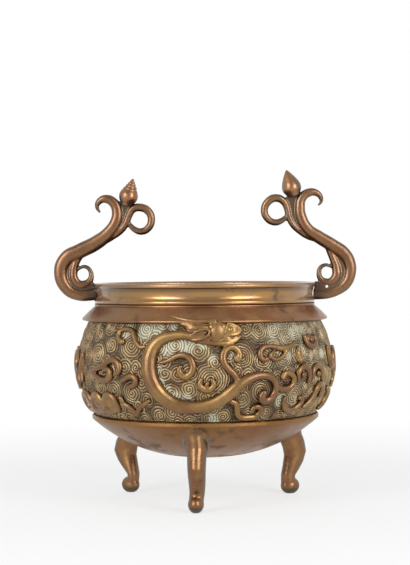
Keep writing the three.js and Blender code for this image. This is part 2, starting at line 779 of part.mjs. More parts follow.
// Cloud scrolls on one half of the band, by name.
const CLOUDS = {
  inner_scroll: [
    [[-19.2, 0.57, 0.57], [-15.5, 0.62, 0.93], [-12, 0.665, 1], [-8.6, 0.66, 1.04],
      [-6.2, 0.6, 1.04], [-6.1, 0.52, 1.04], [-8.4, 0.46, 0.96], [-10.8, 0.475, 0.79],
      [-11.2, 0.525, 0.5]],
  ],
  pearl_scroll: [
    [[-2.4, 0.425, 0.54], [-3, 0.355, 0.75], [-1.4, 0.3, 0.79], [0.9, 0.285, 0.79],
      [3, 0.325, 0.79], [3.4, 0.39, 0.71], [2.2, 0.43, 0.54]],
  ],
  hook_cloud: [
    [[-27.6, 0.77, 0.71], [-30.4, 0.8, 0.86], [-32, 0.87, 0.89], [-34.2, 0.96, 0.89],
      [-37.6, 0.985, 0.89], [-40.6, 0.93, 0.89], [-41, 0.845, 0.86], [-38.6, 0.8, 0.54]],
  ],
  ruyi_cloud_west: [
    [[-60, 0.465, 0.71], [-52.6, 0.53, 1], [-46.5, 0.605, 1.04], [-42.2, 0.645, 1.04],
      [-39, 0.6, 1], [-38.3, 0.525, 0.93], [-40.4, 0.475, 0.57]],
    [[-58, 0.46, 0.79], [-53.8, 0.425, 1], [-49.4, 0.405, 1], [-45.2, 0.43, 0.93],
      [-43.6, 0.5, 0.57]],
  ],
  curl_cloud_west: [
    [[-37.6, 0.435, 0.57], [-34.6, 0.47, 0.86], [-31.2, 0.45, 0.86], [-31.2, 0.385, 0.82],
      [-34.2, 0.36, 0.57]],
  ],
  wave_cloud_west: [
    [[-40.8, 0.225, 0.64], [-40, 0.155, 0.86], [-36.6, 0.125, 0.93], [-34, 0.075, 0.89],
      [-31.2, 0.12, 0.89], [-27.6, 0.175, 0.79], [-24.8, 0.215, 0.5]],
  ],
  lobe_cloud: [
    [[-43.4, 0.08, 0.54], [-43.2, 0.15, 0.75], [-44.4, 0.22, 0.86], [-47.6, 0.25, 0.86],
      [-50.8, 0.2, 0.86], [-53.4, 0.12, 0.79], [-55, 0.05, 0.57]],
    [[-55, 0.06, 0.54], [-54.2, 0.14, 0.79], [-55.4, 0.21, 0.89], [-58.6, 0.235, 0.89],
      [-62, 0.19, 0.89], [-64.4, 0.12, 0.82], [-66, 0.04, 0.57]],
    [[-65.6, 0.06, 0.54], [-65.8, 0.14, 0.82], [-68, 0.205, 1], [-72.6, 0.22, 1.07],
      [-77.2, 0.17, 1.07], [-79.4, 0.08, 0.93], [-77, 0.02, 0.57]],
    [[-43.4, 0.1, 0.57], [-48, 0.05, 0.71], [-55, 0.06, 0.86], [-60, 0.045, 0.71], [-65.8, 0.07, 0.79],
      [-71, 0.03, 0.71], [-77.4, 0.03, 0.57]],
  ],
  leaf_cloud: [
    [[-68.5, 0.67, 0.57], [-70.6, 0.57, 1.64], [-71.5, 0.47, 1.5], [-70, 0.38, 0.57]],
  ],
  hook_cloud_west: [
    [[-76, 0.6, 0.57], [-79, 0.68, 0.93], [-83, 0.67, 0.93], [-84.6, 0.57, 0.93],
      [-82, 0.48, 0.93], [-77.5, 0.42, 0.93], [-76.6, 0.33, 0.86], [-79.6, 0.28, 0.54]],
  ],
  ruyi_cloud_east: [
    [[49, 0.88, 0.64], [42.4, 0.82, 1], [37.4, 0.785, 1.04], [33, 0.795, 1],
      [28.6, 0.825, 1], [24.6, 0.79, 1], [23, 0.72, 0.96], [24, 0.655, 0.89],
      [26.8, 0.65, 0.54]],
    [[40.4, 0.8, 0.79], [37.6, 0.73, 0.89], [34, 0.675, 0.89], [30.6, 0.67, 0.86],
      [29.2, 0.72, 0.54]],
  ],
  bud_east: [
    [[44.6, 0.78, 0.5], [45, 0.72, 1.21], [45.2, 0.655, 0.5]],
  ],
  hook_cloud_east: [
    [[50.6, 0.87, 0.54], [51.8, 0.79, 0.86], [55, 0.765, 0.89], [58, 0.81, 0.86],
      [58.6, 0.88, 0.54]],
  ],
  spiral_cloud_a: [
    [[34.8, 0.315, 0.64], [37.4, 0.31, 0.86], [40.6, 0.35, 0.89], [42, 0.42, 0.89],
      [40, 0.485, 0.86], [36.6, 0.49, 0.79], [35.4, 0.435, 0.5]],
  ],
  spiral_cloud_b: [
    [[53.8, 0.36, 0.64], [53, 0.44, 0.93], [50.4, 0.52, 0.96], [46.6, 0.54, 0.93],
      [44.4, 0.48, 0.82], [46.2, 0.43, 0.5]],
  ],
  spiral_cloud_c: [
    [[63.6, 0.38, 0.64], [63.6, 0.46, 0.93], [60.6, 0.53, 1], [56.6, 0.54, 0.93],
      [54.8, 0.485, 0.82], [56.8, 0.435, 0.5]],
  ],
  wave_cloud_east: [
    [[36.2, 0.24, 0.57], [37.6, 0.16, 0.86], [41.4, 0.1, 0.93], [46, 0.07, 0.89],
      [49.6, 0.12, 0.82], [49.4, 0.19, 0.54]],
  ],
  tail_cloud: [
    [[12, 0.215, 0.57], [13.8, 0.15, 0.79], [14.8, 0.075, 0.86], [17.8, 0.035, 0.86],
      [22, 0.03, 0.86], [25.6, 0.07, 0.86], [25.6, 0.135, 0.79], [22.4, 0.165, 0.54]],
  ],
  flame_cloud: [
    [[70.5, 0.74, 0.57], [71.6, 0.65, 1.14], [73.6, 0.56, 1.14], [77, 0.52, 0.93],
      [78.8, 0.58, 0.54]],
  ],
  knob_cloud: [
    [[73, 0.26, 0.57], [76.6, 0.24, 1.07], [79.4, 0.16, 1.14], [77.6, 0.07, 1.07], [73, 0.03, 0.64]],
  ],
  foot_cloud: [
    [[52.6, 0.08, 0.57], [55.2, 0.12, 0.86], [57.6, 0.2, 0.93], [59, 0.3, 0.93], [62.6, 0.33, 0.86],
      [65, 0.27, 0.86], [64.4, 0.19, 0.54]],
  ],
  side_cloud: [
    [[86.6, 0.72, 0.57], [83.4, 0.66, 1], [82.4, 0.56, 1.04], [84.6, 0.47, 1],
      [88.4, 0.42, 1], [89, 0.32, 0.93], [86, 0.27, 0.54]],
  ],
};

function cloud(strands) {
  return joined(
    strands.map((stations) =>
      strap(stations, SCROLL_PROUD, SCROLL_WIDTH, Math.ceil(stations.length * STEPS_PER_STATION)),
    ),
  );
}

const burner = new THREE.Group();
burner.add(
  piece("lower_bowl", lowerBowl(), "copper"),
  piece("base_plug", basePlug(), "copper"),
  piece("relief_band", reliefBand(), "ground"),
  piece("shoulder_ring", shoulderRing(), "copper"),
  piece("neck_collar", neckCollar(), "brass"),
);

const LEG_NAMES = ["leg_front", "leg_right", "leg_left"];
legAngles().forEach((angle, i) => {
  const mesh = piece(LEG_NAMES[i], leg(), "copper");
  mesh.rotation.z = THREE.MathUtils.degToRad(angle);
  burner.add(mesh);
});

for (const [name, shape, outline] of [
  ["left", LEFT_HANDLE, SHELL_OUTLINE],
  ["right", RIGHT_HANDLE, BUD_OUTLINE],
]) {
  burner.add(
    piece("handle_" + name, handle(shape), "copper"),
    piece("finial_" + name, atSeat(finial(outline), shape.side, shape.seat), "copper"),
  );
}

for (const [place, turn] of [
  ["front", 0],
  ["back", Math.PI],
]) {
  const half = new THREE.Group();
  half.rotation.z = turn;
  half.add(piece("dragon_" + place, dragon(), "relief"));
  for (const [name, strands] of Object.entries(CLOUDS))
    half.add(piece(name + "_" + place, cloud(strands), "relief"));
  burner.add(half);
}

export default burner;
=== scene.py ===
import math

import bmesh
import bpy
import numpy as np
from bpy.props import FloatProperty, FloatVectorProperty, IntProperty, PointerProperty
from mathutils import Matrix, Vector


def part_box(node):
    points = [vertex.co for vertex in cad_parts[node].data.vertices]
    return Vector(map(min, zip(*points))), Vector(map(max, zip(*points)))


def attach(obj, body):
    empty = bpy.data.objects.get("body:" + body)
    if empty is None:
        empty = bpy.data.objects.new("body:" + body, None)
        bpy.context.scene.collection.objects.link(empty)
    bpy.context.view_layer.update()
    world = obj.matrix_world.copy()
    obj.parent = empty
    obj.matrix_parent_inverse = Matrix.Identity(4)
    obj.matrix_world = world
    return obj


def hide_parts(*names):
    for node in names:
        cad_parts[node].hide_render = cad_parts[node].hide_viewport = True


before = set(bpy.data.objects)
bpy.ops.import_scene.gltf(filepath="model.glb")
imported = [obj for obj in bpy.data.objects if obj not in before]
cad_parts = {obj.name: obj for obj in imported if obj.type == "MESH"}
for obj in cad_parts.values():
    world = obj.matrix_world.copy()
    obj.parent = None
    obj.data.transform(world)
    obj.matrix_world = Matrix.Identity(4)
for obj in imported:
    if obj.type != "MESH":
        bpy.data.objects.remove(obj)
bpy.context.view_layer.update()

bl_info = {
    "name": "Tripod Incense Burner",
    "version": (1, 0, 0),
    "blender": (4, 5, 0),
    "location": "View3D > Sidebar > Burner",
    "description": "Cast and chased bronze incense burner with scroll handles on three legs",
    "category": "Add Mesh",
}

MM = 0.001


def ring_radius(node, height):
    """Largest radius of a node's corners that lie at a height."""
    places = [v.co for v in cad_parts[node].data.vertices]
    return max(math.hypot(p.x, p.y) for p in places if abs(p.z - height) < 0.01 * MM)


# Walls and joints that repeat the solids' own
SOLDER = 0.3 * MM
PLUG_GAP = 0.02 * MM
SPIGOT_WALL = 1.6 * MM
SPIGOT_HEIGHT = 3 * MM
BAND_WALL = 3 * MM
BOWL_WALL = 3 * MM
COLLAR_WALL = 2.4 * MM
BOWL_RIM = 2 * MM

# Heights and radii from the frame
_, PLUG_RADIUS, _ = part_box("base_plug")[1]
BOWL_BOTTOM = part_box("base_plug")[0][2]
BAND_FOOT, BAND_TOP = (corner[2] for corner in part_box("relief_band"))
BAND_HEIGHT = BAND_TOP - BAND_FOOT
BAND_FOOT_RADIUS = ring_radius("relief_band", BAND_FOOT)
BAND_TOP_RADIUS = ring_radius("relief_band", BAND_TOP)
BELLY_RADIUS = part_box("relief_band")[1][1]
BOWL_EDGE_TOP = BAND_FOOT - SOLDER
BOWL_EDGE_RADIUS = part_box("lower_bowl")[1][1]
SHOULDER_FOOT = BAND_TOP + SOLDER
_, SHOULDER_EDGE_RADIUS, SHOULDER_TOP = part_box("shoulder_ring")[1]
COLLAR_FOOT = SHOULDER_TOP + SOLDER
_, LIP_RADIUS, RIM_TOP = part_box("neck_collar")[1]

# Other sizes that repeat the solids' own
BELLY_LEVEL = BAND_FOOT + 24 * MM
BELLY_FULLNESS = 2.2
BOWL_FULLNESS = 2.5
RELIEF_MARGIN = 2 * MM
HANDLE_RISE = 44 * MM
HANDLE_UNIT = HANDLE_RISE / 100
SCROLL_WIDTH = 2.8 * MM
SCROLL_PROUD = 1.9 * MM
DRAGON_WIDTH = 6.6 * MM
DRAGON_PROUD = 3.8 * MM
WAIST_RADIUS = LIP_RADIUS - 1.4 * MM
NECK_RADIUS = WAIST_RADIUS - COLLAR_WALL
LEG_TURN = 5.8
LEG_ROOT = BOWL_EDGE_RADIUS - 10.8 * MM


def length_setting(name, default, description):
    return FloatProperty(name=name, description=description, default=default, unit="LENGTH")


def count_setting(name, default, least, description):
    return IntProperty(name=name, description=description, default=default, min=least)


def colour_setting(name, default, description):
    return FloatVectorProperty(
        name=name, description=description, default=default, subtype="COLOR"
    )


class BurnerSizes(bpy.types.PropertyGroup):
    """Fineness and depth of what the chasing tools left."""

    line_pitch: length_setting("Line pitch", 1.12 * MM, "Distance between two lines of a whorl")
    line_depth: length_setting("Line depth", 0.5 * MM, "Depth of the grooves between the lines")
    whorl_spacing: length_setting("Whorl spacing", 7 * MM, "Usual distance between two whorls")
    whorl_dome: length_setting("Whorl dome", 0.45 * MM, "Fall from a whorl's middle to its edge")
    cast_grain: length_setting("Cast grain", 0.26 * MM, "Fineness at which joined bars are fused")
    chased_across: count_setting("Chased across", 290, 60, "Points across a length of the band")
    chased_up: count_setting("Chased up", 206, 40, "Points up a length of the band")
    spin_steps: count_setting("Spin steps", 160, 24, "Sides of a turned ring")


class BurnerColours(bpy.types.PropertyGroup):
    """Colours of the metal, of what lies in its hollows, and of the painted shade."""

    copper: colour_setting("Copper", (0.27, 0.142, 0.066), "Polished copper-brown metal")
    # Dark patina also serves as the colour of the painted shade in hollows, by joins and on the
    # left side.
    copper_dark: colour_setting(
        "Dark patina", (0.055, 0.03, 0.018), "Patina in hollows and blotches"
    )
    brass: colour_setting(
        "Brassy metal", (0.36, 0.212, 0.074), "Yellower metal of the collar and of worn places"
    )
    relief: colour_setting("Relief", (0.27, 0.136, 0.06), "Metal of the dragons and the clouds")
    ground: colour_setting("Chased ground", (0.25, 0.18, 0.092), "Dull metal of the chased lines")
    # Residue also tints the painted sheen at the ground's outline and the handles' grime and
    # painted shade.
    residue: colour_setting("Residue", (0.43, 0.4, 0.28), "Pale grey-green residue in the grooves")


class BurnerStudio(bpy.types.PropertyGroup):
    """Camera and light."""

    lens: FloatProperty(
        name="Lens", description="Focal length of the camera in millimetres", default=108.7
    )
    distance: length_setting("Distance", 0.84, "From the camera to the bowl's axis")
    eye_height: length_setting("Eye height", 0.1178, "Height of the camera above the floor")
    lamp_power: FloatProperty(
        name="Lamp power", description="Power of each soft lamp", default=7.0, subtype="POWER"
    )
    paper_glow: FloatProperty(
        name="Paper glow",
        description="How much of the floor's white is its own under the object",
        default=0.7,
        min=0.0,
        max=1.0,
    )
    paper: colour_setting("Paper", (0.8, 0.8, 0.8), "Colour of the floor")


# Modelling helpers


def deselect():
    if bpy.context.mode != "OBJECT":
        bpy.ops.object.mode_set(mode="OBJECT")
    bpy.ops.object.select_all(action="DESELECT")


def pick(*objects):
    """Selects these objects alone, the first one active."""
    deselect()
    for thing in objects:
        thing.select_set(True)
    bpy.context.view_layer.objects.active = objects[0]


def join(name, parts):
    pick(*parts)
    if len(parts) > 1:
        bpy.ops.object.join()
    made = bpy.context.object
    made.name = made.data.name = name
    return made


def apply_modifier(thing, kind, **settings):
    pick(thing)
    modifier = thing.modifiers.new(kind.lower(), kind)
    for key, value in settings.items():
        setattr(modifier, key, value)
    bpy.ops.object.modifier_apply(modifier=modifier.name)


def smooth(thing, angle=None):
    pick(thing)
    if angle is None:
        bpy.ops.object.shade_smooth()
    else:
        bpy.ops.object.shade_smooth_by_angle(angle=math.radians(angle))


MADE_FINISHES = {}


def finish_piece(piece, finish, slot, *nodes):
    """Places a finished piece in the part: hangs it on its body, hides the solids it stands for and
    gives it its finish.
    """
    pick(piece)
    bpy.ops.object.transform_apply(location=True, rotation=True, scale=True)
    if finish not in MADE_FINISHES:
        MADE_FINISHES[finish] = finish(bpy.context.scene.burner_colours)
    piece.data.materials.clear()
    piece.data.materials.append(MADE_FINISHES[finish])
    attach(piece, "root")
    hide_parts(*nodes)


def circle_through(places, fill="NOTHING"):
    """Circle with its corners moved to the places, selected in edit mode."""
    deselect()
    bpy.ops.mesh.primitive_circle_add(vertices=len(places), radius=0.01, fill_type=fill)
    made = bpy.context.object
    for vertex, place in zip(made.data.vertices, places):
        vertex.co = place
    bpy.ops.object.mode_set(mode="EDIT")
    bpy.ops.mesh.select_all(action="SELECT")
    return made


def leave_edit(merge=False):
    """Merges the doubles where asked, turns the faces out and leaves edit mode."""
    bpy.ops.mesh.select_all(action="SELECT")
    if merge:
        bpy.ops.mesh.remove_doubles(threshold=1e-6)
    bpy.ops.mesh.normals_make_consistent(inside=False)
    bpy.ops.object.mode_set(mode="OBJECT")


def rounded(outline, radius, steps=3):
    """A closed outline of (x, y) corners with every corner rounded off."""
    made = []
    for i, here in enumerate(outline):
        corner = Vector(here)
        before = Vector(outline[i - 1]) - corner
        after = Vector(outline[(i + 1) % len(outline)]) - corner
        reach = min(radius, before.length * 0.4, after.length * 0.4)
        if corner.x < 1e-7 or reach < 1e-7:
            made.append(corner)
            continue
        start = corner + before.normalized() * reach
        end = corner + after.normalized() * reach
        for k in range(steps + 1):
            t = k / steps
            made.append(start.lerp(corner, t).lerp(corner.lerp(end, t), t))
    return made


def turned(name, outline, steps):
    """Spins a closed outline of (radius, height) corners round the bowl's axis."""
    ring = circle_through([(radius, 0, height) for radius, height in outline])
    bpy.ops.mesh.spin(steps=steps, angle=2 * math.pi, center=(0, 0, 0), axis=(0, 0, 1))
    leave_edit(merge=True)
    return join(name, [ring])


def turned_piece(node, outline, finish, slot):
    """Turns the piece that stands for a node."""
    piece = turned(f"{node}_turned", outline, bpy.context.scene.burner_sizes.spin_steps)
    smooth(piece, 32)
    finish_piece(piece, finish, slot, node)


def bar(stations, fineness=8, sides=4):
    """Round bar through (place, radius) stations, as a closed mesh."""
    deselect()
    bpy.ops.curve.primitive_bezier_curve_add()
    made = bpy.context.object
    curve = made.data
    spline = curve.splines[0]
    spline.bezier_points.add(len(stations) - 2)
    for point, (place, radius) in zip(spline.bezier_points, stations):
        point.co = place
        point.radius = radius
        point.handle_left_type = point.handle_right_type = "AUTO"
    spline.radius_interpolation = "BSPLINE"
    curve.resolution_u = fineness
    curve.bevel_depth = 1
    curve.bevel_resolution = sides
    curve.use_fill_caps = True
    pick(made)
    bpy.ops.object.convert(target="MESH")
    bpy.ops.object.mode_set(mode="EDIT")
    leave_edit(merge=True)
    return bpy.context.object


def lump(place, size, turn=None):
    """Ball of three half sizes, turned and set at a place."""
    deselect()
    bpy.ops.mesh.primitive_uv_sphere_add(segments=24, ring_count=16, radius=1)
    made = bpy.context.object
    grow = Matrix.Diagonal((*size, 1))
    move = Matrix.Translation(place)
    made.data.transform(move @ (turn.to_4x4() if turn else Matrix()) @ grow)
    return made


def fused(name, parts, grain, passes=2):
    """Casts overlapping bars and lumps into one body with soft hollows between them."""
    made = join(name, parts)
    apply_modifier(made, "REMESH", mode="VOXEL", voxel_size=grain)
    apply_modifier(made, "SMOOTH", factor=0.5, iterations=passes)
    smooth(made)
    return made


def cast_on_both_halves(name, parts, passes=2):
    """Casts a motif of the relief for the front half and copies it half a turn round."""
    grain = bpy.context.scene.burner_sizes.cast_grain
    front = fused(f"{name}_cast_front", parts, grain, passes)
    pick(front)
    bpy.ops.object.duplicate()
    back = bpy.context.object
    back.name = back.data.name = f"{name}_cast_back"
    back.data.transform(Matrix.Rotation(math.pi, 4, "Z"))
    finish_piece(front, high_relief, "high_relief", f"{name}_front")
    finish_piece(back, high_relief, "high_relief", f"{name}_back")


# Surfaces of the bowl


def around(turn, radius, z):
    """Place at a turn round the bowl from its front."""
    return Vector((math.sin(turn) * radius, -math.cos(turn) * radius, z))


def bowl_height(radius, offset=0.0):
    share = radius / BOWL_EDGE_RADIUS
    depth = BOWL_EDGE_TOP - BOWL_RIM - BOWL_BOTTOM
    slope = depth * BOWL_FULLNESS * share ** (BOWL_FULLNESS - 1) / BOWL_EDGE_RADIUS
    return BOWL_BOTTOM + depth * share**BOWL_FULLNESS - offset * math.hypot(1, slope)


def bowl_curve(start, end, offset, rows=18):
    """Corners along the bowl's curve from one radius to another."""
    radii = [start + (end - start) * i / rows for i in range(rows + 1)]
    return [(r, bowl_height(r, offset)) for r in radii]


def band_radius(z):
    below = z < BELLY_LEVEL
    reach = BELLY_LEVEL - BAND_FOOT if below else BAND_TOP - BELLY_LEVEL
    end = BAND_FOOT_RADIUS if below else BAND_TOP_RADIUS
    away = abs(z - BELLY_LEVEL) / reach
    return BELLY_RADIUS - (BELLY_RADIUS - end) * away**BELLY_FULLNESS


def band_frame(degrees, share):
    """Place at a height share of the relief's field, with the directions along, up and out."""
    turn = math.radians(degrees)
    z = BAND_FOOT + RELIEF_MARGIN + share * (BAND_HEIGHT - 2 * RELIEF_MARGIN)
    slope = (band_radius(z + 0.1 * MM) - band_radius(z - 0.1 * MM)) / (0.2 * MM)
    out = Vector((math.sin(turn), -math.cos(turn), -slope)).normalized()
    along = Vector((math.cos(turn), math.sin(turn), 0))
    return around(turn, band_radius(z), z), along, out.cross(along).normalized() * -1, out


def corners_by(radius, height, *steps):
    """Corners some millimetres outward and up from one place of an outline."""
    return [(radius + out * MM, height + up * MM) for out, up in steps]


# Materials


class Nodes:
    """Short ways to add and link the nodes of a material or of the surroundings."""

    def __init__(self, owner):
        owner.use_nodes = True
        self.owner = owner
        self.tree = owner.node_tree
        self.shader = self.tree.nodes.get("Principled BSDF")
        self.coordinates = self.node("TexCoord")
        self.object = self.coordinates.outputs["Object"]

    def link(self, value, socket):
        if isinstance(value, bpy.types.NodeSocket):
            self.tree.links.new(value, socket)
        else:
            socket.default_value = value

    def node(self, kind, inputs=None, **settings):
        """Adds a node with its settings, and links or sets its inputs."""
        made = self.tree.nodes.new(f"ShaderNode{kind}")
        for key, value in settings.items():
            setattr(made, key, value)
        for key, value in (inputs or {}).items():
            self.link(value, made.inputs[key])
        return made

    def noise(self, scale, detail=4.0, rough=0.55, stretch=None):
        source = self.object
        if stretch:
            stretched = self.node("VectorMath", {0: source, 1: stretch}, operation="MULTIPLY")
            source = stretched.outputs["Vector"]
        inputs = {"Vector": source, "Scale": scale, "Detail": detail, "Roughness": rough}
        return self.node("TexNoise", inputs).outputs["Fac"]

    def math(self, kind, first, *others):
        """Works from the first value through the others, one after the other."""
        for other in others or (0.0,):
            first = self.node("Math", {0: first, 1: other}, operation=kind).outputs[0]
        return first

    def spread(self, value, low, high, to_low=0.0, to_high=1.0):
        """Goes softly from one value to another while its own value goes from low to high."""
        names = ("Value", "From Min", "From Max", "To Min", "To Max")
        inputs = dict(zip(names, (value, low, high, to_low, to_high)))
        return self.node("MapRange", inputs, interpolation_type="SMOOTHSTEP").outputs["Result"]

    def mix(self, share, a, b, blend="MIX"):
        a, b = (c if isinstance(c, bpy.types.NodeSocket) else (*c, 1) for c in (a, b))
        inputs = {"Factor": share, "A": a, "B": b}
        return self.node("Mix", inputs, data_type="RGBA", blend_type=blend).outputs["Result"]

    def over(self, base, colour, value, low, high, most):
        """Lays a colour over the base, from none at the low value to the most at the high one."""
        return self.mix(self.spread(value, low, high, 0, most), base, colour)

    def hollow(self, distance):
        """How closed in a place is by the metal around it, from 0 in the open."""
        node = self.node("AmbientOcclusion", {"Distance": distance}, samples=8)
        return self.math("SUBTRACT", 1.0, node.outputs["AO"])

    def edge(self):
        """How sharply a place stands out: above a half on ridges, below in grooves."""
        return self.node("NewGeometry").outputs["Pointiness"]

    def glancing(self):
        """How far a place turns away from the eye, from 0 when it faces it."""
        return self.node("LayerWeight").outputs["Facing"]

    def attribute(self, name):
        return self.node("Attribute", attribute_name=name).outputs["Fac"]

    def along(self, axis):
        return self.node("SeparateXYZ", {0: self.object}).outputs[axis]

    def height(self, low, high, to_low=0.0, to_high=1.0):
        """Share of the way up between two heights."""
        return self.spread(self.along("Z"), low, high, to_low, to_high)

    def painted_shade_left(self, colour, dark, most, far=0.85 * LIP_RADIUS, near=0.3 * LIP_RADIUS):
        """Paints shade: darkens a colour softly toward the left handle."""
        return self.mix(self.spread(self.along("X"), -far, -near, most, 0), colour, dark)

    def wax(self, weight, rough=0.14):
        """Rubs a thin clear coat of wax over the metal."""
        for name, value in (("Weight", weight), ("IOR", 1.5), ("Roughness", rough)):
            self.shader.inputs[f"Coat {name}"].default_value = value

    def close(self, colour, roughness, uneven, depth, strength=0.4, metallic=1.0):
        """Sends the colour, the roughness and a slight unevenness to the shader."""
        bump = self.node("Bump", {"Distance": depth, "Strength": strength, "Height": uneven})
        self.link(colour, self.shader.inputs["Base Color"])
        self.link(roughness, self.shader.inputs["Roughness"])
        self.link(metallic, self.shader.inputs["Metallic"])
        self.link(bump.outputs["Normal"], self.shader.inputs["Normal"])
        return self.owner


def new_material(name):
    return Nodes(bpy.data.materials.new(name))


def lighter(colour, factor):
    return tuple(min(1.0, c * factor) for c in colour)


def toned(colour, *factors):
    return tuple(c * factor for c, factor in zip(colour, factors))


def copper_base(n, colours, tone, gold):
    """Copper-brown in clouds and a finer, more golden mottle, with blotches of dark patina."""
    mottle = n.noise(210, 2, 0.5)
    red = toned(lighter(colours.copper, tone), 0.95, 0.78, 0.72)
    base = n.mix(n.spread(n.noise(38, 5), 0.35, 0.65), red, lighter(colours.copper, 1.15 * tone))
    base = n.over(base, lighter(colours.brass, tone), mottle, 0.42, 0.72, gold)
    stain = n.spread(n.noise(60, 8, 0.7, (1, 1, 0.8)), 0.53, 0.66, 0, 0.65)
    base = n.mix(stain, base, lighter(colours.copper_dark, 1.6))
    base = n.over(base, colours.copper_dark, n.noise(800, 3, 0.5), 0.68, 0.74, 0.5)
    return base, mottle, stain


def polished_copper(
    colours, name="polished_copper", tone=0.98, wax=0.15, gold=0.5, tint=(1, 1, 1), left=0.35
):
    """Copper-brown metal with a satin rub, dark patina and painted shade in its hollows, and
    painted shade toward the left handle.
    """
    n = new_material(name)
    base, mottle, stain = copper_base(n, colours, tone, gold)
    base = n.mix(1, base, tint, "MULTIPLY")
    # Painted shade on the object's left side.
    base = n.painted_shade_left(base, lighter(colours.copper_dark, 1.3), left)
    # Dark patina and painted shade in the hollows and where pieces meet.
    closed = n.hollow(3 * MM)
    base = n.over(base, colours.copper_dark, closed, 0.25, 0.8, 0.75)
    base = n.over(base, lighter(colours.brass, 1.1), n.edge(), 0.51, 0.58, 0.25)
    rough = n.spread(mottle, 0.3, 0.7, 0.3, 0.4)
    dull = n.math("MULTIPLY", stain, 0.25)
    rough = n.math("ADD", rough, dull, n.spread(closed, 0.2, 0.7, 0, 0.3))
    n.wax(wax)
    return n.close(base, rough, mottle, 0.03 * MM, 0.5)


def bowl_copper(colours):
    """The darker, duller copper of the lower bowl."""
    return polished_copper(colours, "bowl_copper", 0.76, 0.0, 0.4, (1.03, 0.96, 0.78), 0)


def handled_copper(colours, name="handled_copper", tone=0.72, gold=0.05, wax=0.55, webs=0.72):
    """The handles' copper, rubbed soft, with grime and painted shade in its hollows and webs,
    painted shade toward its outline, and painted shade by the solder where it meets the collar.
    """
    n = new_material(name)
    base, mottle, stain = copper_base(n, colours, tone, gold)
    grime_and_shade = tuple((a + b * 0.25) / 2 for a, b in zip(colours.copper_dark, colours.residue))
    # Grime and painted shade in the hollows between the bars.
    base = n.over(base, grime_and_shade, n.hollow(4.5 * MM), 0.08, 0.34, 0.92)
    # Painted shade: darker toward the outline, where the metal turns away from the eye.
    base = n.over(base, grime_and_shade, n.glancing(), 0.3, 0.85, 0.85)
    # Grime and painted shade where the metal lies near the handle's middle plane: on the recessed
    # webs and the bars' sides.
    depth = n.math("ABSOLUTE", n.along("Y"))
    base = n.mix(n.spread(depth, 0.7 * MM, 1.7 * MM, webs, 0), base, grime_and_shade)
    # Painted shade by the solder, where the handle meets the collar between the shoulder and the
    # rim, blotchy with the stains.
    away = n.math("ADD", n.math("ABSOLUTE", n.along("X")), n.math("MULTIPLY", stain, -2 * MM))
    shade_by_collar = n.spread(away, LIP_RADIUS + 0.5 * MM, LIP_RADIUS + 7.5 * MM, 0.95, 0)
    below_rim = n.height(RIM_TOP - 2 * MM, RIM_TOP + 2 * MM, 1, 0)
    above_ring = n.height(SHOULDER_TOP - 2 * MM, SHOULDER_TOP)
    shade_by_collar = n.math("MULTIPLY", shade_by_collar, below_rim, above_ring)
    base = n.mix(shade_by_collar, base, lighter(colours.copper_dark, 1.3))
    rough = n.math("ADD", n.spread(mottle, 0.3, 0.7, 0.34, 0.44), n.math("MULTIPLY", stain, 0.2))
    n.wax(wax, 0.2)
    return n.close(base, rough, mottle, 0.02 * MM)


def finial_copper(colours):
    """The finials' copper, a lighter tone of the handles'."""
    return handled_copper(colours, "finial_copper", 1.05, webs=0)


def leg_copper(colours):
    """The legs' copper, more golden and duller than the handles'."""
    return handled_copper(colours, "leg_copper", 0.78, 0.6, 0.25, 0)


def brassy_collar(colours):
    """Yellower metal, rubbed bright, with brown stains and dark pits; painted shade under the lip
    and toward the left; dark patina and painted shade in the hollows.
    """
    n = new_material("brassy_collar")
    cloudy = n.noise(45, 6, 0.6)
    specks = n.noise(500, 4, 0.55)
    gold = toned(colours.brass, 1.06, 0.96, 0.7)
    base = n.mix(n.spread(cloudy, 0.4, 0.7), gold, lighter(colours.copper, 1.1))
    stain = n.spread(n.noise(80, 8, 0.7, (1, 1, 1.6)), 0.56, 0.66, 0, 0.7)
    base = n.mix(stain, base, lighter(colours.copper_dark, 1.5))
    base = n.over(base, colours.copper_dark, specks, 0.66, 0.72, 0.6)
    # Painted shade: a dark band just under the overhanging lip.
    near = n.height(RIM_TOP - 4.8 * MM, RIM_TOP - 2.4 * MM, 0, 0.75)
    under = n.math("MULTIPLY", near, n.height(RIM_TOP - 2 * MM, RIM_TOP - 1.6 * MM, 1, 0))
    base = n.mix(under, base, lighter(colours.copper, 0.3))
    lip = n.height(RIM_TOP - 1.9 * MM, RIM_TOP - 1.5 * MM, 0, 0.6)
    base = n.mix(lip, base, lighter(colours.copper, 1.05))
    # Painted shade on the collar's left side.
    base = n.painted_shade_left(base, lighter(colours.copper_dark, 1.3), 0.4)
    # Dark patina and painted shade in the hollows, most under the lip.
    base = n.over(base, colours.copper_dark, n.hollow(3 * MM), 0.2, 0.7, 0.55)
    base = n.over(base, lighter(colours.brass, 1.4), n.edge(), 0.51, 0.58, 0.4)
    rough = n.spread(specks, 0.3, 0.7, 0.28, 0.36)
    rough = n.math("ADD", rough, n.math("MULTIPLY", stain, 0.2), n.math("MULTIPLY", lip, 0.15))
    n.wax(0.9, 0.17)
    uneven = n.math("ADD", cloudy, n.noise(60, 3, 0.6, (1, 1, 7)))
    return n.close(base, rough, uneven, 0.015 * MM)


